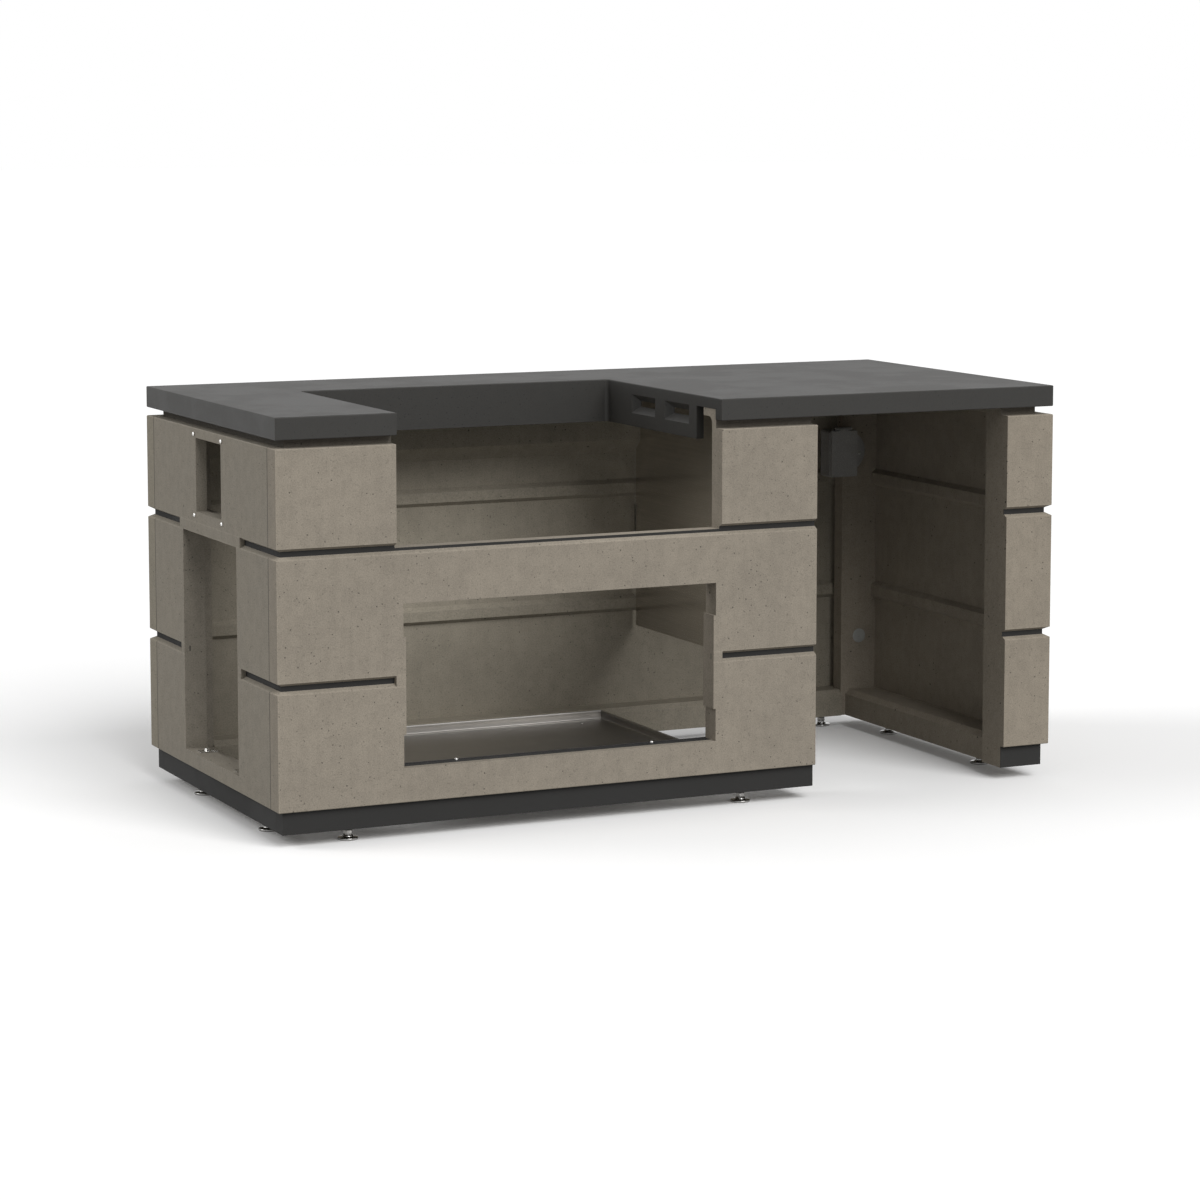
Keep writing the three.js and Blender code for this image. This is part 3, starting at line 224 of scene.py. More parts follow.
class Graph:
    """Short forms for making the nodes of one tree. A method that makes a node gives its output."""

    def __init__(self, tree):
        self.tree = tree

    def add(self, kind, inputs=None, output=0, **settings):
        """A shader node with its inputs and settings. An input is a socket or a plain value."""
        made = self.tree.nodes.new(f"ShaderNode{kind}")
        for key, value in settings.items():
            setattr(made, key, value)
        for key, value in (inputs or {}).items():
            self.feed(made.inputs[key], value)
        return made.outputs[output]

    def feed(self, target, value):
        """Links a socket to an input, or sets the input's own value."""
        if isinstance(value, bpy.types.NodeSocket):
            self.tree.links.new(value, target)
        elif hasattr(target.default_value, "__len__") and len(target.default_value) == 4:
            target.default_value = (*value[:3], 1.0)
        else:
            target.default_value = value

    def math(self, operation, a, b=0.0, c=0.0):
        return self.add("Math", {0: a, 1: b, 2: c}, operation=operation)

    def times(self, a, b):
        return self.math("MULTIPLY", a, b)

    def plus(self, a, b):
        return self.math("ADD", a, b)

    def minus(self, a, b):
        return self.math("SUBTRACT", a, b)

    def gap(self, a, b):
        """How far two values are apart."""
        return self.math("ABSOLUTE", self.minus(a, b))

    def least(self, value, *others):
        for other in others:
            value = self.math("MINIMUM", value, other)
        return value

    def most(self, value, *others):
        for other in others:
            value = self.math("MAXIMUM", value, other)
        return value

    def near(self, value, target, reach):
        """1 where a value is within reach of a target, else 0."""
        return self.math("COMPARE", value, target, reach)

    def vector(self, operation, a, b):
        return self.add("VectorMath", {0: a, 1: b}, operation=operation)

    def split(self, vector):
        node = self.add("SeparateXYZ", {0: vector}).node
        return node.outputs[0], node.outputs[1], node.outputs[2]

    def ramp(self, value, low, high, to_low=0.0, to_high=1.0):
        """A smooth step of a value from one range to another."""
        return self.add(
            "MapRange",
            {"Value": value, "From Min": low, "From Max": high, "To Min": to_low, "To Max": to_high},
            interpolation_type="SMOOTHSTEP",
        )

    def blend(self, share, a, b):
        """A colour between two, by a share."""
        node = self.add("Mix", data_type="RGBA").node
        self.feed(node.inputs[0], share)
        self.feed(node.inputs[6], a)
        self.feed(node.inputs[7], b)
        return node.outputs[2]

    def noise(self, vector, scale, detail=2.0, roughness=0.5):
        inputs = {"Vector": vector, "Scale": scale, "Detail": detail, "Roughness": roughness}
        return self.add("TexNoise", inputs)

    def effect(self, name, position, **inputs):
        """One of the shared shader groups placed in this tree, as its outputs."""
        node = self.tree.nodes.new("ShaderNodeGroup")
        node.node_tree = GROUPS[name]
        self.feed(node.inputs["Position"], position)
        for key, value in inputs.items():
            self.feed(node.inputs[key.replace("_", " ").capitalize()], value)
        return node.outputs

    def give(self, **values):
        """Makes the outputs of a shader group, one for each value, and gives the finished group."""
        for name in values:
            self.tree.interface.new_socket(name, in_out="OUTPUT", socket_type="NodeSocketFloat")
        sink = self.tree.nodes.new("NodeGroupOutput")
        for name, value in values.items():
            self.feed(sink.inputs[name], value)
        return self.tree


def shader_group(name, inputs):
    """A shader group that takes a position and other inputs, given with their defaults.

    Gives the graph, the position and the other input sockets by name.
    """
    tree = bpy.data.node_groups.new(name, "ShaderNodeTree")
    tree.interface.new_socket("Position", in_out="INPUT", socket_type="NodeSocketVector")
    for socket, default in inputs.items():
        kind = "NodeSocketVector" if isinstance(default, tuple) else "NodeSocketFloat"
        made = tree.interface.new_socket(socket, in_out="INPUT", socket_type=kind)
        made.default_value = default
    given = tree.nodes.new("NodeGroupInput").outputs
    return Graph(tree), given["Position"], given


def mottle_group():
    """Clouds, blotches, sand, specks and upright streaks of a cast face, as noises in the body."""
    graph, place, given = shader_group("Cast mottle", {"Cloud size": 0.16, "Sand size": 0.0028})
    cloud_scale = graph.math("DIVIDE", 1.0, given["Cloud size"])
    sand_scale = graph.math("DIVIDE", 1.0, given["Sand size"])
    blotch_place = graph.vector("ADD", place, (3.1, 7.7, 1.3))
    blotches = graph.noise(blotch_place, graph.times(cloud_scale, 5.5), 3.0)
    upright = graph.vector("MULTIPLY", place, (70.0, 70.0, 6.0))
    speck_place = graph.vector("ADD", place, (1.7, 4.1, 2.9))
    return graph.give(
        Clouds=graph.ramp(graph.noise(place, cloud_scale, 5.0, 0.62), 0.36, 0.64),
        Blotches=graph.ramp(blotches, 0.38, 0.62),
        Streaks=graph.ramp(graph.noise(upright, 1.0, 3.0, 0.6), 0.34, 0.66),
        Sand=graph.ramp(graph.noise(place, sand_scale, 2.0, 0.7), 0.34, 0.66),
        Specks=graph.noise(speck_place, 210.0, 2.0, 0.65),
    )


def air_hole_group():
    """Round air holes of many sizes: cells whose middles lie near the face are cut by it."""
    graph, place, given = shader_group("Air holes", {"Spacing": 0.02, "Radius": 0.002, "Share": 0.5})
    wobble = graph.add("TexNoise", {"Vector": place, "Scale": 420.0}, output=1)
    centred = graph.vector("SUBTRACT", wobble, (0.5, 0.5, 0.5))
    bent = graph.vector("ADD", place, graph.vector("MULTIPLY", centred, (0.003, 0.003, 0.003)))
    scale = graph.math("DIVIDE", 1.0, given["Spacing"])
    cells = graph.add("TexVoronoi", {"Vector": bent, "Scale": scale}).node
    distance = graph.times(cells.outputs["Distance"], given["Spacing"])
    pick, size, _ = graph.split(cells.outputs["Color"])
    chosen = graph.math("LESS_THAN", pick, given["Share"])
    spread = graph.math("MULTIPLY_ADD", graph.math("POWER", size, 2.0), 0.75, 0.4)
    radius = graph.times(graph.times(spread, given["Radius"]), chosen)
    return graph.give(Mask=graph.ramp(graph.minus(radius, distance), 0.0, 0.4 * MM))


COURSE_SIZES = (
    "plinth_inset", "tongue_inset", "plinth_top", "low_joint", "high_joint", "block_top",
    "joint_height", "joint_floor",
)


def course_group(concrete):
    """What follows the courses of the panels, from how far a place lies behind the outer faces.

    Depth is that distance. Coat is the dark coating on the plinth, the joint floors and the
    tongue; the tongue gets only part of it, painted lighter as painted light in its shade.
    Seam is a painted shade line where two panels meet. Rubbed is a painted
    highlight on the arrises.
    """
    low, high = corners("countertop")
    half_length, half_depth = (high - low)[:2] / 2
    inputs = {
        "Half length": half_length, "Half depth": half_depth, "Edge width": 3 * MM,
        "Front seam": -half_depth, "Back seam": half_depth,
    }
    for size in COURSE_SIZES:
        inputs[size.replace("_", " ").capitalize()] = getattr(concrete, size)
    graph, place, given = shader_group("Courses", inputs)
    x, y, z = graph.split(place)
    in_x = graph.minus(given["Half length"], graph.math("ABSOLUTE", x))
    in_y = graph.minus(given["Half depth"], graph.math("ABSOLUTE", y))
    depth = graph.least(in_x, in_y)

    reach = graph.times(given["Joint floor"], 0.58)
    low_floor = graph.near(z, given["Low joint"], reach)
    high_floor = graph.near(z, given["High joint"], reach)
    plinth = graph.math("LESS_THAN", z, graph.minus(given["Plinth top"], 0.3 * MM))
    set_in = graph.near(depth, given["Plinth inset"], 1.2 * MM)
    coated = graph.times(set_in, graph.most(plinth, low_floor, high_floor))
    under_counter = graph.math("GREATER_THAN", z, graph.minus(given["Block top"], 0.4 * MM))
    tongue = graph.times(graph.near(depth, given["Tongue inset"], 1.2 * MM), under_counter)

    # Painted shade: a dark line on the outer faces where two panels meet.
    front_seam = graph.near(y, given["Front seam"], 1.5 * MM)
    back_seam = graph.near(y, given["Back seam"], 1.5 * MM)
    outside = graph.math("LESS_THAN", depth, 2 * MM)

    # A painted highlight along the course edges and the corners of the outer faces.
    half_joint = graph.times(given["Joint height"], 0.5)
    course_edge = graph.least(
        graph.gap(z, given["Plinth top"]),
        graph.gap(z, given["Block top"]),
        graph.gap(graph.gap(z, given["Low joint"]), half_joint),
        graph.gap(graph.gap(z, given["High joint"]), half_joint),
    )
    on_face = graph.most(course_edge, graph.minus(depth, 0.6 * MM))
    nearest = graph.least(on_face, graph.most(in_x, in_y))
    ragged = graph.ramp(graph.noise(place, 160.0, 3.0, 0.7), 0.35, 0.75, 0.3, 1.6)
    width = graph.times(given["Edge width"], ragged)
    # The tongue takes only 0.6 of the dark coat: painted light on the tongue, which lies in shade under
    # the countertop.
    return graph.give(
        Depth=depth,
        Coat=graph.most(coated, graph.times(tongue, 0.6)),
        Seam=graph.times(graph.most(front_seam, back_seam), outside),
        Rubbed=graph.ramp(graph.minus(width, nearest), 0.0, 2 * MM),
    )


def brushed_group():
    """Fine lines of a brushed sheet: noise stretched along the brushing."""
    graph, place, given = shader_group("Brushed lines", {"Stretch": (3.0, 700.0, 700.0)})
    lines = graph.noise(graph.vector("MULTIPLY", place, given["Stretch"]), 1.0, 3.0, 0.6)
    return graph.give(
        Lines=graph.ramp(lines, 0.25, 0.75),
        Smudges=graph.ramp(graph.noise(place, 9.0, 4.0, 0.6), 0.35, 0.7),
    )


def dust_group():
    """Dust that settles on faces that look up, thicker in patches."""
    graph, place, given = shader_group("Settled dust", {"Patch size": 0.09})
    _, _, up = graph.split(graph.add("NewGeometry", output="Normal"))
    patches = graph.noise(place, graph.math("DIVIDE", 1.0, given["Patch size"]), 4.0, 0.65)
    return graph.give(Mask=graph.times(graph.ramp(up, 0.6, 0.98), graph.ramp(patches, 0.4, 0.72)))


def hammered_group():
    """The lumpy skin of a coated casting: rounded cells over a finer noise. Shade is lighter on the
    lumps and darker between them: painted shade.
    """
    graph, place, given = shader_group("Hammered skin", {"Lump size": 0.0022})
    scale = graph.math("DIVIDE", 1.0, given["Lump size"])
    cells = graph.add("TexVoronoi", {"Vector": place, "Scale": scale}, feature="SMOOTH_F1")
    fine = graph.noise(place, graph.times(scale, 2.7), 2.0)
    height = graph.plus(graph.times(cells, 0.7), graph.times(fine, 0.4))
    return graph.give(Height=height, Shade=graph.ramp(height, 0.3, 0.8))


GROUPS = {}


def make_groups(scene):
    """Builds every shared effect once."""
    GROUPS.update(
        mottle=mottle_group(),
        air_holes=air_hole_group(),
        courses=course_group(scene.island_concrete),
        brushed=brushed_group(),
        dust=dust_group(),
        hammered=hammered_group(),
    )


def scaled(colour, share):
    """A colour made lighter or darker by a share."""
    return tuple(min(1.0, part * share) for part in colour)


def new_material(name, roughness, metallic=0.0, colour=(0.5, 0.5, 0.5)):
    """A material with its graph, its shader's inputs and the position on the island."""
    material = bpy.data.materials.new(name)
    material.use_nodes = True
    graph = Graph(material.node_tree)
    shader = material.node_tree.nodes["Principled BSDF"].inputs
    shader["Base Color"].default_value = (*colour, 1.0)
    shader["Roughness"].default_value = roughness
    shader["Metallic"].default_value = metallic
    return material, graph, shader, graph.add("TexCoord", output="Object")


def shade(graph, shader, colour, roughness, height=None, distance=0.0, strength=0.0):
    """Feeds a shader its colour, its roughness and, through a Bump node, its relief."""
    graph.feed(shader["Base Color"], colour)
    graph.feed(shader["Roughness"], roughness)
    if height is not None:
        relief = {"Height": height, "Distance": distance, "Strength": strength}
        graph.feed(shader["Normal"], graph.add("Bump", relief))


# How much each part of the mottle adds to a casting's tone.
MOTTLE_SHARES = {"Clouds": 0.22, "Blotches": 0.16, "Streaks": 0.1, "Sand": 0.52}
# Three sizes of air holes: spacing and radius as shares of the settings, strength of their
# painted shade and their dip, and how far the pattern is shifted away from the others.
HOLE_SIZES = ((0.95, 1.0, 1.0, 0.0), (0.6, 0.6, 0.9, 0.37), (0.4, 0.4, 0.75, 0.73))


def cast_pattern(graph, position, concrete, light, dark, hole_share):
    """Clouds, streaks, sand and air holes of a casting, as (colour, height, clouds). The air holes are
    darkened with painted shade.
    """
    mottle = graph.effect("mottle", position, cloud_size=concrete.cloud_size)
    tone = 0.0
    for name, weight in MOTTLE_SHARES.items():
        tone = graph.math("MULTIPLY_ADD", mottle[name], weight, tone)
    colour = graph.blend(tone, dark, light)
    specks = graph.ramp(mottle["Specks"], 0.58, 0.74, 0.0, 0.42)
    colour = graph.blend(specks, colour, scaled(dark, 0.45))
    patches = graph.noise(graph.vector("ADD", position, (5.3, 1.9, 8.8)), 7.0)
    crowding = graph.times(graph.ramp(patches, 0.35, 0.68, 0.35, 1.7), hole_share)
    deep = 0.0
    for spacing, radius, strength, shift in HOLE_SIZES:
        holes = graph.effect(
            "air_holes", graph.vector("ADD", position, (shift, shift / 3, shift * 2)),
            spacing=concrete.hole_spacing * spacing, radius=concrete.hole_radius * radius,
            share=crowding,
        )
        deep = graph.most(deep, graph.times(holes["Mask"], strength))
    # Painted shade: the air holes are darkened as though shaded inside.
    colour = graph.blend(graph.times(deep, 0.75), colour, scaled(dark, 0.2))
    height = graph.minus(graph.times(mottle["Sand"], 0.14), deep)
    return colour, height, mottle["Clouds"]


def block_concrete(name, concrete, tint, seams):
    """Smooth grey-brown concrete with a dark coating in the joints, on the plinth and the tongue.

    seams are the Y places of the front and the back seam with the panels beside it.
    """
    material, graph, shader, position = new_material(name, roughness=0.85)
    light = tuple(part * share for part, share in zip(concrete.block_light, tint))
    dark = tuple(part * share for part, share in zip(concrete.block_dark, tint))
    course = graph.effect("courses", position, front_seam=seams[0], back_seam=seams[1])
    # The faces cast against the mould have more air holes than the backs of the castings.
    hole_share = graph.ramp(course["Depth"], 16 * MM, 24 * MM, 0.42, 0.14)
    colour, height, clouds = cast_pattern(graph, position, concrete, light, dark, hole_share)
    # Painted highlight: the arrises are made lighter.
    colour = graph.blend(graph.times(course["Rubbed"], 0.35), colour, scaled(light, 1.18))
    coat = graph.blend(clouds, concrete.recess_colour, scaled(concrete.recess_colour, 1.25))
    colour = graph.blend(course["Coat"], colour, coat)
    # Painted shade along the seams between panels.
    colour = graph.blend(graph.times(course["Seam"], 0.9), colour, scaled(dark, 0.22))
    shader["Specular IOR Level"].default_value = 0.3
    roughness = graph.ramp(clouds, 0.0, 1.0, 0.78, 0.88)
    shade(graph, shader, colour, roughness, height, distance=0.5 * MM, strength=0.6)
    return material


def counter_concrete(name, concrete):
    """Honed dark concrete, sealed, with air holes and a little dust on top."""
    material, graph, shader, position = new_material(name, roughness=0.6)
    light, dark = concrete.counter_light, concrete.counter_dark
    colour, height, clouds = cast_pattern(graph, position, concrete, light, dark, 0.5)
    dust = graph.effect("dust", position)
    colour = graph.blend(graph.times(dust["Mask"], 0.12), colour, scaled(light, 1.3))
    shader["Specular IOR Level"].default_value = 0.34
    roughness = graph.ramp(clouds, 0.0, 1.0, 0.54, 0.59)
    shade(graph, shader, colour, roughness, height, distance=0.4 * MM, strength=0.5)
    return material


def steel_material(name, colour, roughness, stretch):
    """Steel with fine lines along one direction, and smudges that dull it."""
    material, graph, shader, position = new_material(name, roughness, 1.0, colour)
    brushed = graph.effect("brushed", position, stretch=stretch)
    lines = brushed["Lines"]
    toned = graph.blend(lines, scaled(colour, 0.88), colour)
    worn = graph.plus(graph.times(lines, 0.06), graph.times(brushed["Smudges"], 0.05))
    worn = graph.plus(worn, roughness - 0.05)
    shade(graph, shader, toned, worn, lines, distance=0.02 * MM, strength=0.5)
    return material


def zinc_material(name, colour):
    """Zinc plate: small crystal patches of slightly different shade."""
    material, graph, shader, position = new_material(name, 0.42, 1.0, colour)
    cells = graph.add("TexVoronoi", {"Vector": position, "Scale": 240.0}).node
    patch, _, _ = graph.split(cells.outputs["Color"])
    tone = graph.plus(graph.times(patch, 0.5), graph.noise(position, 40.0, 3.0))
    toned = graph.blend(graph.ramp(tone, 0.3, 1.1), scaled(colour, 0.7), colour)
    shade(graph, shader, toned, graph.ramp(tone, 0.3, 1.1, 0.5, 0.34))
    return material


def coated_casting(name, colour):
    """Dark textured coat on a metal casting, with dust on what looks up."""
    material, graph, shader, position = new_material(name, roughness=0.55)
    skin = graph.effect("hammered", position)
    dust = graph.effect("dust", position, patch_size=0.03)
    # Painted shade: lighter on the lumps, darker in the hollows between them.
    toned = graph.blend(skin["Shade"], colour, scaled(colour, 1.35))
    toned = graph.blend(graph.times(dust["Mask"], 0.35), toned, scaled(colour, 2.2))
    roughness = graph.ramp(skin["Shade"], 0.0, 1.0, 0.62, 0.48)
    shade(graph, shader, toned, roughness, skin["Height"], distance=0.35 * MM, strength=0.7)
    return material


def moulded_plastic(name, colour):
    """Grey moulded plastic with a very fine spark-eroded grain."""
    material, graph, shader, position = new_material(name, roughness=0.5)
    smudges = graph.noise(position, 35.0, 4.0, 0.6)
    toned = graph.blend(graph.ramp(smudges, 0.35, 0.65), scaled(colour, 0.86), colour)
    roughness = graph.ramp(smudges, 0.3, 0.7, 0.44, 0.58)
    grain = graph.noise(position, 1400.0)
    shade(graph, shader, toned, roughness, grain, distance=0.06 * MM, strength=0.6)
    return material


def dress(node, material, radius):
    """Gives a CAD node a material, and rounds its edges with live modifiers."""
    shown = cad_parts[node]
    shown.data.materials.clear()
    shown.data.materials.append(material)
    weld = shown.modifiers.new("Join corners", "WELD")
    weld.merge_threshold = 0.01 * MM
    bevel = shown.modifiers.new("Rounded edges", "BEVEL")
    bevel.width = radius
    bevel.segments = 2
    bevel.limit_method = "ANGLE"
    bevel.angle_limit = math.radians(30)
    bevel.harden_normals = True
    bevel.miter_outer = "MITER_ARC"


def closed_rings(rings):
    """Vertices and faces of a stack of rings: quads between neighbours, a fan over each end.

    Rings run anticlockwise seen from where the stack goes to, so that the faces point outwards.
    """
    count, sides = rings.shape[:2]
    points = np.vstack([rings.reshape(-1, 3), rings[:1].mean(1), rings[-1:].mean(1)])
    here = np.arange(sides)
    beside = (here + 1) % sides
    start = np.arange(count - 1)[:, None] * sides
    quads = np.stack([start + here, start + beside, start + beside + sides, start + here + sides], -1)
    first, last, top = count * sides, count * sides + 1, (count - 1) * sides
    low_fan = np.stack([np.full(sides, first), beside, here], -1)
    high_fan = np.stack([np.full(sides, last), top + here, top + beside], -1)
    return points, quads.reshape(-1, 4).tolist() + low_fan.tolist() + high_fan.tolist()


def around(radius, angles, height):
    """Points about the Z axis: each radius at its angle and its height."""
    x, y, z = np.broadcast_arrays(radius * np.cos(angles), radius * np.sin(angles), height)
    return np.stack([x, y, z], -1)


def turned(profile, sides, lobes=None):
    """A turned shape: (radius, height) pairs carried round the Z axis.

    lobes is a function of the angles, radii and heights that multiplies each radius.
    """
    angles = np.arange(sides) * (2 * math.pi / sides)
    radius, height = np.array(profile, float).T[:, :, None]
    factor = np.ones(sides) if lobes is None else lobes(angles, radius, height)
    return closed_rings(around(radius * factor, angles, height))


def arc(centre, radius, start, end, steps):
    """Points of an arc about a centre, from one angle in degrees to another."""
    turn = np.radians(np.linspace(start, end, steps))
    return [(centre[0] + radius * math.cos(t), centre[1] + radius * math.sin(t)) for t in turn]


def new_object(name, data):
    """An object in the scene."""
    made = bpy.data.objects.new(name, data)
    bpy.context.scene.collection.objects.link(made)
    return made


def new_piece(name, shape, material, replaced=(), body="island"):
    """A finished mesh object at the origin that rides on a body and stands for CAD nodes."""
    points, faces = shape
    mesh = bpy.data.meshes.new(name)
    mesh.from_pydata(np.asarray(points, float).tolist(), [], faces)
    mesh.materials.append(material)
    mesh.shade_smooth()
    mesh.set_sharp_from_angle(angle=math.radians(35))
    mesh.validate()
    piece = new_object(name, mesh)
    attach(piece, body)
    if replaced:
        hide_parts(*replaced)


def joined(shapes):
    """Several (points, faces) shapes as one."""
    points, faces, start = [], [], 0
    for shape_points, shape_faces in shapes:
        points.append(shape_points)
        faces.extend([[index + start for index in face] for face in shape_faces])
        start += len(shape_points)
    return np.vstack(points), faces


def placed(shape, axis, origin):
    """A shape turned so that its Z axis points along an axis, and moved to an origin."""
    points, faces = shape
    turn = np.array(Vector(axis).to_track_quat("Z", "Y").to_matrix())
    return points @ turn.T + np.asarray(origin, float), faces


def standing(shape, low, high, level):
    """An upright shape put over the middle of a box, its Z 0 at a level."""
    return placed(shape, UP, ((low[0] + high[0]) / 2, (low[1] + high[1]) / 2, level))


def pan_head(radius, height, shank_length):
    """A pan-head screw, head above Z 0: a turned profile whose inner rings are pulled into a
    six-lobed recess, r = radius x (1 + 0.16 cos 6 angle) inside the recess."""
    shank = radius / 2
    recess = 0.42 * radius
    deep = 0.55 * height
    crown = arc((0.6 * radius, 0.42 * height), 0.4 * radius, 0, 75, 6)
    profile = [
        (0.3 * shank, -shank_length), (shank, -shank_length + shank), (shank, 0.0),
        (0.96 * radius, 0.0), (radius, 0.06 * height), (radius, 0.42 * height),
        *[(reach, min(z, height)) for reach, z in crown],
        (0.55 * radius, height), (1.12 * recess, height), (recess, 0.97 * height),
        (0.94 * recess, height - deep), (0.4 * recess, height - 1.15 * deep),
    ]

    def lobes(angles, radii, heights):
        inner = (radii < recess * 1.05) & (heights > 0)
        return np.where(inner, 1 + 0.16 * np.cos(6 * angles), 1.0)

    return turned(profile, SCREW_SIDES, lobes)


def hex_head(width, height):
    """A hexagon head above Z 0, its top corners cut by a cone: z = min(top, rim - tan 30 x reach)."""
    flat = width / 2
    angles = np.arange(HEXAGON_SIDES) * (2 * math.pi / HEXAGON_SIDES)
    sixth = math.pi / 3
    reach = flat / np.cos((angles % sixth) - sixth / 2)
    chamfer = height - np.maximum(0, reach - 0.98 * flat) * math.tan(math.radians(30))
    levels = (
        (0.3 * reach, 0.0), (reach, 0.0), (reach, 0.5 * height), (reach, chamfer),
        (0.95 * flat, height), (0.5 * flat, height), (0.42 * flat, 0.94 * height),
    )
    return closed_rings(np.array([around(radius, angles, z) for radius, z in levels]))


def rounded_rectangle(half_x, half_y, radius, steps):
    """An anticlockwise rounded rectangle about the origin: an arc of steps points at each corner."""
    points = []
    for start, (side_x, side_y) in zip((0, 90, 180, 270), ((1, 1), (-1, 1), (-1, -1), (1, -1))):
        centre = (side_x * (half_x - radius), side_y * (half_y - radius))
        points += arc(centre, radius, start, start + 90, steps)
    return np.array(points)


def folded_tray(low, high, hem, sheet, bend):
    """A shallow tray as rings of rounded rectangles: the section of (inset, height) runs under
    the floor, up the outside, over the hem, down the inside and back over the floor."""
    top, bottom = high[2], low[2]
    outer = bend + sheet
    deep_inside = 20 * sheet
    section = [
        (deep_inside, bottom),
        *arc((outer, bottom + outer), outer, 270, 180, 6),
        *arc((sheet, top - sheet), sheet, 180, 0, 9),
        (2 * sheet, top - hem + 0.5 * MM), (1.8 * sheet, top - hem), (1.1 * sheet, top - hem),
        (sheet, top - hem - 0.3 * MM),
        *arc((outer, bottom + outer), bend, 180, 270, 5),
        (deep_inside, bottom + sheet),
    ]
    half = (high - low)[:2] / 2
    centre = (high + low)[:2] / 2
    rings = []
    for inset, height in section:
        corner = max(0.8 * MM, 2.6 * MM - 0.7 * inset)
        flat = rounded_rectangle(half[0] - inset, half[1] - inset, corner, 5) + centre
        rings.append(np.column_stack([flat, np.full(len(flat), height)]))
    return closed_rings(np.array(rings))


def flat_bar(low, high, radius, steps):
    """A bar along X between two corners: a rounded rectangle in Y and Z carried along X."""
    low, high = np.array(low), np.array(high)
    half = (high - low) / 2
    ring = rounded_rectangle(half[1], half[2], radius, steps)
    rings = np.empty((2, len(ring), 3))
    rings[..., 0] = np.array([low[0], high[0]])[:, None]
    rings[..., 1:] = ring + ((low + high) / 2)[1:]
    return closed_rings(rings)


def dome(radius, height):
    """A rivet head: a low dome that starts upright and closes flat."""
    rise = np.linspace(0.2, 1.35, 6)
    profile = [(0.9 * radius, -0.1 * height), (radius, 0.0)]
    profile += [(radius * math.cos(t), height * math.sin(t)) for t in rise]
    return turned(profile, SMALL_SIDES)


class PieceOperator:
    """What every operator of the island shares."""

    bl_options = {"REGISTER", "UNDO"}

    def execute(self, context):
        self.build(context.scene)
        return {"FINISHED"}


class ISLAND_OT_dress_panels(PieceOperator, bpy.types.Operator):
    """Finishes the four block panels in cast concrete"""

    bl_idname = "kitchen_island.dress_panels"
    bl_label = "Block Panels"

    tints = {
        "front_panel": (1.0, 1.0, 1.0),
        "left_panel": (0.97, 0.99, 1.0),
        "right_panel": (1.01, 1.0, 0.985),
        "back_panel": (0.98, 1.0, 0.98),
    }

    def build(self, scene):
        concrete = scene.island_concrete
        low, high = corners("left_panel")
        for node in PANELS:
            seams = (high[1], high[1]) if node == "right_panel" else (low[1], high[1])
            material = block_concrete(f"{node} concrete", concrete, self.tints[node], seams)
            dress(node, material, concrete.edge_radius)


class ISLAND_OT_dress_countertop(PieceOperator, bpy.types.Operator):
    """Finishes the countertop in honed dark concrete"""

    bl_idname = "kitchen_island.dress_countertop"
    bl_label = "Countertop"

    def build(self, scene):
        concrete = scene.island_concrete
        material = counter_concrete("countertop concrete", concrete)
        dress("countertop", material, concrete.edge_radius * 0.7)


class ISLAND_OT_dress_divider(PieceOperator, bpy.types.Operator):
    """Finishes the divider sheet and the angle that ties it to the back"""

    bl_idname = "kitchen_island.dress_divider"
    bl_label = "Divider"

    def build(self, scene):
        steel = scene.island_steel
        sheet = steel_material("divider sheet", steel.divider_colour, 0.2, (500.0, 3.0, 500.0))
        dress("divider_board", sheet, FINE_EDGE)
        dress("divider_angle", zinc_material("angle zinc", steel.zinc_colour), 0.4 * MM)


class ISLAND_OT_build_tray(PieceOperator, bpy.types.Operator):
    """Builds the folded storage tray with its rivets, and finishes the arms under it"""

    bl_idname = "kitchen_island.build_tray"
    bl_label = "Storage Tray"

    def build(self, scene):
        steel = scene.island_steel
        low, high = corners("storage_tray")
        sheet = steel_material("tray sheet", steel.sheet_colour, 0.33, (3.0, 600.0, 600.0))
        shape = folded_tray(low, high, steel.tray_hem, steel.sheet_thickness, steel.bend_radius)
        new_piece("folded_tray", shape, sheet, ["storage_tray"])
        polished = steel_material("rivet steel", steel.turned_colour, 0.25, (200.0, 200.0, 200.0))
        zinc = zinc_material("arm zinc", steel.zinc_colour)
        rivet = dome(steel.rivet_radius, steel.rivet_radius * 0.45)
        floor = low[2] + steel.sheet_thickness
        rows = (low[1] + RIVET_FROM_FRONT, high[1] - RIVET_FROM_BACK)
        for arm in ("tray_arm_left", "tray_arm_right"):
            dress(arm, zinc, 0.6 * MM)
            x = middle(arm)[0]
            rivets = joined([placed(rivet, UP, (x, y, floor)) for y in rows])
            new_piece(f"{arm}_rivets", rivets, polished)


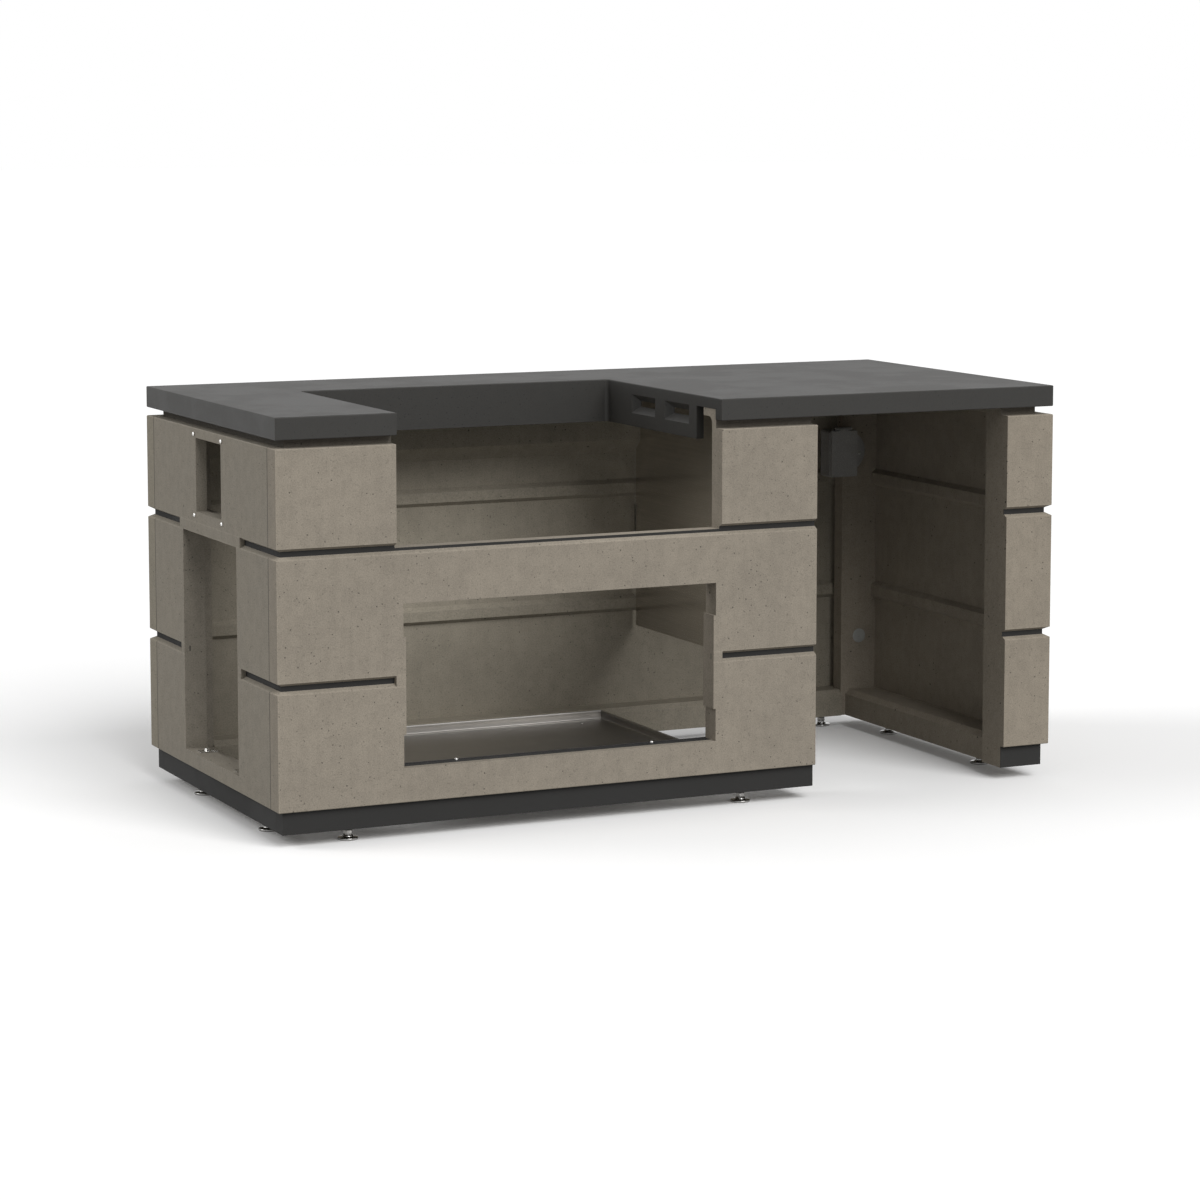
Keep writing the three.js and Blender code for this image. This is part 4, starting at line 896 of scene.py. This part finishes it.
class ISLAND_OT_build_feet(PieceOperator, bpy.types.Operator):
    """Builds the levelling feet: turned pads, hexagons and threaded stems"""

    bl_idname = "kitchen_island.build_feet"
    bl_label = "Levelling Feet"

    def build(self, scene):
        steel = scene.island_steel
        # The pads' steel is painted dark: painted shade.
        polished = steel_material("polished pad with painted shade", steel.pad_colour_with_painted_shade, 0.16, (300.0, 300.0, 900.0))
        zinc = zinc_material("stem zinc", steel.zinc_colour)
        for foot in FEET:
            body, node = f"foot_{foot}", f"foot_pad_{foot}"
            pad = self.pad(*corners(node), steel.turned_sides)
            new_piece(f"turned_pad_{foot}", pad, polished, [node], body)
            node = f"foot_stem_{foot}"
            stem = self.stem(*corners(node), steel)
            new_piece(f"threaded_stem_{foot}", stem, zinc, [node], body)

    def pad(self, low, high, sides):
        """A pad turned from the rim's radius R and the height H: a flat base, a rounded rim, a
        waist and a raised collar that holds the stem's ball."""
        radius = (high[0] - low[0]) / 2
        height = high[2] - low[2]
        rim = 0.08 * radius
        profile = [
            (0.5 * radius, 0.0), (radius - rim, 0.0),
            *arc((radius - rim, rim), rim, 280, 360, 5),
            *arc((radius - rim, 0.36 * height), rim, 0, 80, 5),
            (0.74 * radius, 0.56 * height), (0.62 * radius, 0.62 * height),
            *arc((0.62 * radius, 0.84 * height), 0.22 * height, 250, 180, 5),
            (0.5 * radius, 0.94 * height), (0.47 * radius, height), (0.41 * radius, height),
            (0.38 * radius, 0.9 * height), (0.2 * radius, 0.9 * height),
        ]
        return standing(turned(profile, sides), low, high, low[2])

    def stem(self, low, high, steel):
        """A neck, a hexagon and a thread: r = R - depth x |2 frac(z / pitch - turn) - 1|."""
        base, tip = low[2], high[2]
        neck_top, hexagon_top = base + 3 * MM, base + 10 * MM
        neck_radius, collar_radius = 6 * MM, 8.6 * MM
        neck = [
            (neck_radius, base), (collar_radius, base + 0.6 * MM),
            (collar_radius, base + 1.6 * MM), (neck_radius, neck_top),
        ]
        width = min(high[0] - low[0], high[1] - low[1])
        hexagon = placed(hex_head(width, hexagon_top - neck_top), UP, (0, 0, neck_top))
        thread_radius = 5 * MM
        heights = np.arange(hexagon_top - 1 * MM, tip - 0.2 * MM, steel.thread_pitch / 6)[:, None]
        turn = np.arange(SMALL_SIDES) / SMALL_SIDES
        phase = (heights / steel.thread_pitch - turn) % 1
        fade = np.clip((tip - heights) / (1.5 * MM), 0.0, 1.0)
        radius = thread_radius - steel.thread_depth * np.abs(2 * phase - 1)
        radius = radius * (0.75 + 0.25 * fade)
        thread = closed_rings(around(radius, turn * 2 * math.pi, heights))
        shapes = joined([turned(neck, steel.turned_sides), hexagon, thread])
        return standing(shapes, low, high, 0.0)


class ISLAND_OT_build_screws(PieceOperator, bpy.types.Operator):
    """Builds the pan-head screws of the openings and the divider, and the tape on the door sill"""

    bl_idname = "kitchen_island.build_screws"
    bl_label = "Pan-head Screws"

    def build(self, scene):
        steel = scene.island_steel
        bright = steel_material("screw steel", steel.turned_colour, 0.28, (250.0, 250.0, 250.0))
        zinc = zinc_material("screw zinc", steel.zinc_colour)
        for index in (1, 2, 3, 4):
            self.screw(steel, f"window_screw_{index}", (-1, 0, 0), bright, "stainless_steel")
        for side in ("left", "right"):
            self.screw(steel, f"door_screw_sill_{side}", UP, bright, "stainless_steel")
            self.screw(steel, f"door_screw_head_{side}", (0, 0, -1), bright, "stainless_steel")
        for index in (1, 2, 3):
            self.screw(steel, f"divider_screw_{index}", (-1, 0, 0), zinc, "zinc_steel")
        self.tape(steel)

    def screw(self, steel, node, way, material, slot):
        """A screw in its CAD node's place: the head is the widest part, at the end of the way."""
        low, high = corners(node)
        along = int(np.argmax(np.abs(way)))
        across = (along + 1) % 3
        radius = (high[across] - low[across]) / 2
        top = (high if way[along] > 0 else low)[along]
        origin = (low + high) / 2
        origin[along] = top - way[along] * steel.head_height
        shank_length = (high - low)[along] - steel.head_height
        shape = placed(pan_head(radius, steel.head_height, shank_length), way, origin)
        new_piece(f"{node}_turned", shape, material, [node])

    def tape(self, steel):
        """The black strip on the rear of the door opening's sill, under the two screw heads, and
        the edge seal behind it that closes the gap to the tray."""
        left_low, left_high = corners("door_screw_sill_left")
        start = (left_low[0] + left_high[0]) / 2 - steel.tape_reach
        end = middle("door_screw_sill_right")[0] + steel.tape_reach
        rear = corners("left_panel")[0][1] - 0.8 * MM
        top = left_high[2] - steel.head_height - 0.05 * MM
        bottom = top - TAPE_HEIGHT
        strip = flat_bar((start, rear - steel.tape_width, bottom), (end, rear, top), 0.1 * MM, 3)
        tray_low, tray_high = corners("storage_tray")
        seal = flat_bar(
            (start, left_high[1] + 0.3 * MM, top),
            (end, tray_low[1] - TAPE_GAP, tray_high[2] + 0.3 * MM), 0.4 * MM, 4,
        )
        material = coated_casting("sill tape", (0.012, 0.012, 0.012))
        new_piece("sill_tape", joined([strip, seal]), material)


class ISLAND_OT_build_clips(PieceOperator, bpy.types.Operator):
    """Builds the bent clips on the service opening's sill, with their hexagon screws"""

    bl_idname = "kitchen_island.build_clips"
    bl_label = "Sill Clips"

    def build(self, scene):
        steel = scene.island_steel
        bright = steel_material("clip steel", steel.turned_colour, 0.24, (400.0, 8.0, 400.0))
        head = 5 * MM
        for side in ("front", "back"):
            node = f"sill_clip_{side}"
            strap = self.strap(*corners(node), steel.strap_thickness, steel.bend_radius)
            new_piece(f"bent_clip_{side}", strap, bright, [node])
            node = f"sill_clip_screw_{side}"
            low, high = corners(node)
            width = min(high[0] - low[0], high[1] - low[1])
            top = high[2] - head
            shank = [(1.2 * MM, low[2]), (2.1 * MM, low[2] + 1 * MM), (2.1 * MM, top)]
            screw = joined([
                standing(hex_head(width, head), low, high, top),
                standing(turned(shank, SMALL_SIDES), low, high, 0.0),
            ])
            new_piece(f"{node}_turned", screw, bright, [node])

    def strap(self, low, high, thickness, bend):
        """A strap swept along its middle line: inwards over the sill, a quarter turn, and down.

        Each ring is a rounded rectangle of the strap's width and thickness, square to the line.
        """
        half = thickness / 2
        turn = bend + half
        level = high[2] - half
        end_x = high[0] - half
        line = np.array([
            (low[0], level), *arc((end_x - turn, level - turn), turn, 90, 0, 9), (end_x, low[2]),
        ])
        tangent = np.gradient(line, axis=0)
        tangent[0], tangent[-1] = (1.0, 0.0), (0.0, -1.0)
        tangent /= np.linalg.norm(tangent, axis=1)[:, None]
        middle_y = (low[1] + high[1]) / 2
        ring = rounded_rectangle((high[1] - low[1]) / 2, half, 0.5 * MM, 4)
        rings = np.empty((len(line), len(ring), 3))
        rings[..., 0] = line[:, None, 0] - tangent[:, None, 1] * ring[:, 1]
        rings[..., 1] = middle_y + ring[:, 0]
        rings[..., 2] = line[:, None, 1] + tangent[:, None, 0] * ring[:, 1]
        return closed_rings(rings)


class ISLAND_OT_build_bolts(PieceOperator, bpy.types.Operator):
    """Finishes the joint bolts and builds the domed caps over them"""

    bl_idname = "kitchen_island.build_bolts"
    bl_label = "Joint Bolts and Caps"

    def build(self, scene):
        steel = scene.island_steel
        zinc = zinc_material("bolt zinc", steel.zinc_colour)
        plastic = moulded_plastic("cap plastic", scene.island_outlet.plastic_colour)
        for corner in BOLTED_CORNERS:
            way = 1 if corner.startswith("front") else -1
            for level in ("low", "high"):
                dress(f"joint_bolt_{corner}_{level}", zinc, FINE_EDGE)
                node = f"bolt_cap_{corner}_{level}"
                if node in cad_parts:
                    cap = self.cap(*corners(node), way, steel.turned_sides)
                    new_piece(f"domed_cap_{corner}_{level}", cap, plastic, [node])

    def cap(self, low, high, way, sides):
        """A turned cap: a hollow plug, an upright rim, a domed face and a shallow middle dimple."""
        radius = (high[0] - low[0]) / 2
        face, plug, rim, rise, wall = 3.5 * MM, 13.5 * MM, 1.1 * MM, 2.3 * MM, 1.75 * MM
        origin = (low + high) / 2
        origin[1] = (high if way > 0 else low)[1] - way * face
        depth = high[1] - low[1] - face
        inside = plug - wall
        steps = np.linspace(0.12, 1.0, 8)
        profile = [
            (inside, -0.2 * MM), (inside, -depth), (plug, -depth), (plug, 0.0),
            (0.98 * radius, 0.0), (radius, 0.3 * MM), (radius, rim),
            *[(radius * math.cos(1.1 * t), rim + rise * math.sin(1.5 * t)) for t in steps],
            (0.24 * radius, face), (0.2 * radius, face - 0.5 * MM), (0.08 * radius, face - 0.6 * MM),
        ]
        return placed(turned(profile, sides), (0, way, 0), origin)


class ISLAND_OT_dress_outlet(PieceOperator, bpy.types.Operator):
    """Finishes the power outlet in the appliance bay and adds its plate's screw"""

    bl_idname = "kitchen_island.dress_outlet"
    bl_label = "Power Outlet"

    def build(self, scene):
        outlet = scene.island_outlet
        casting = coated_casting("outlet casting", outlet.casting_colour)
        for node in ("outlet_plate", "outlet_box", "outlet_lid"):
            dress(node, casting, outlet.edge_radius)
        plastic = moulded_plastic("receptacle plastic", outlet.plastic_colour)
        dress("outlet_receptacle", plastic, FINE_EDGE)
        zinc = zinc_material("hinge zinc", scene.island_steel.zinc_colour)
        dress("outlet_hinge_pin", zinc, 0.2 * MM)
        front = corners("outlet_plate")[0][1]
        centre = middle("outlet_plate")
        origin = (centre[0] + outlet.screw_reach, front, centre[2] - outlet.screw_drop)
        screw = pan_head(radius=3.6 * MM, height=2.2 * MM, shank_length=3.5 * MM)
        new_piece("outlet_plate_screw", placed(screw, (0, -1, 0), origin), zinc)


class ISLAND_OT_build_stage(PieceOperator, bpy.types.Operator):
    """Builds the camera, the pale floor, the world and the soft lamps"""

    bl_idname = "kitchen_island.build_stage"
    bl_label = "Stage"

    def build(self, scene):
        stage = scene.island_stage
        scene.view_settings.view_transform = "Standard"
        camera = new_object("Camera", bpy.data.cameras.new("Camera"))
        camera.location = stage.camera_place
        camera.rotation_euler = (math.pi / 2 - stage.camera_pitch, 0.0, -stage.camera_turn)
        camera.data.lens = stage.lens
        camera.data.sensor_width = 36.0
        camera.data.shift_y = stage.shift
        camera.data.clip_end = 200.0
        scene.camera = camera
        self.floor(stage)
        self.world(scene, stage)
        self.lamp("Key lamp", stage.key_direction, stage.key_spread, stage.key_strength)
        self.lamp("Fill lamp", stage.fill_direction, stage.fill_spread, stage.fill_strength)

    def seen_directly(self, graph):
        """1 for camera, glossy and transmission rays, which see the plain background."""
        rays = graph.add("LightPath").node.outputs
        return graph.most(rays["Is Camera Ray"], rays["Is Glossy Ray"], rays["Is Transmission Ray"])

    def floor(self, stage):
        """A wide pale floor, which throws back less light than it shows."""
        half = 60.0
        points = [(-half, -half, 0.0), (half, -half, 0.0), (half, half, 0.0), (-half, half, 0.0)]
        mesh = bpy.data.meshes.new("Floor")
        mesh.from_pydata(points, [], [(0, 1, 2, 3)])
        material = bpy.data.materials.new("Pale floor")
        material.use_nodes = True
        graph = Graph(material.node_tree)
        shader = material.node_tree.nodes["Principled BSDF"].inputs
        shader["Roughness"].default_value = 0.9
        shader["Specular IOR Level"].default_value = 0.0
        shader["Emission Color"].default_value = (1.0, 1.0, 1.0, 1.0)
        shader["Emission Strength"].default_value = stage.floor_lift
        shown = graph.blend(self.seen_directly(graph), stage.floor_bounce, stage.floor_colour)
        graph.feed(shader["Base Color"], shown)
        mesh.materials.append(material)
        floor = new_object("Floor", mesh)

    def world(self, scene, stage):
        """White where it is seen directly, and softer as a light."""
        world = bpy.data.worlds.new("Soft daylight")
        world.use_nodes = True
        graph = Graph(world.node_tree)
        background = world.node_tree.nodes["Background"]
        background.inputs["Color"].default_value = (1.0, 1.0, 1.0, 1.0)
        strength = graph.ramp(self.seen_directly(graph), 0.0, 1.0, stage.world_strength, 1.0)
        graph.feed(background.inputs["Strength"], strength)
        scene.world = world

    def lamp(self, name, direction, spread, strength):
        """A far lamp with parallel light, softened by its spread."""
        data = bpy.data.lights.new(name, "SUN")
        data.energy = strength
        data.angle = spread
        lamp = new_object(name, data)
        lamp.rotation_euler = Vector(direction).to_track_quat("Z", "Y").to_euler()
        lamp.location = Vector(direction) * 8.0


OPERATORS = (
    ISLAND_OT_dress_panels,
    ISLAND_OT_dress_countertop,
    ISLAND_OT_dress_divider,
    ISLAND_OT_build_tray,
    ISLAND_OT_build_feet,
    ISLAND_OT_build_screws,
    ISLAND_OT_build_clips,
    ISLAND_OT_build_bolts,
    ISLAND_OT_dress_outlet,
    ISLAND_OT_build_stage,
)
SETTINGS = {
    "island_concrete": ConcreteSettings,
    "island_steel": SteelSettings,
    "island_outlet": OutletSettings,
    "island_stage": StageSettings,
}


class ISLAND_PT_pieces(bpy.types.Panel):
    """Lists the island's pieces and their settings"""

    bl_idname = "ISLAND_PT_pieces"
    bl_label = "Outdoor Kitchen Island"
    bl_space_type = "VIEW_3D"
    bl_region_type = "UI"
    bl_category = "Kitchen Island"

    def draw(self, context):
        for operator in OPERATORS:
            self.layout.operator(operator.bl_idname)
        for name, settings in SETTINGS.items():
            box = self.layout.box()
            box.label(text=settings.__doc__)
            for setting in settings.__annotations__:
                box.prop(getattr(context.scene, name), setting)


def register():
    for name, settings in SETTINGS.items():
        bpy.utils.register_class(settings)
        setattr(bpy.types.Scene, name, PointerProperty(type=settings))
    for operator in OPERATORS:
        bpy.utils.register_class(operator)
    bpy.utils.register_class(ISLAND_PT_pieces)


def unregister():
    bpy.utils.unregister_class(ISLAND_PT_pieces)
    for operator in reversed(OPERATORS):
        bpy.utils.unregister_class(operator)
    for name, settings in SETTINGS.items():
        delattr(bpy.types.Scene, name)
        bpy.utils.unregister_class(settings)


def main():
    """Builds every piece and the stage."""
    register()
    make_groups(bpy.context.scene)
    for operator in OPERATORS:
        group, name = operator.bl_idname.split(".")
        getattr(getattr(bpy.ops, group), name)()


if __name__ == "__main__":
    main()
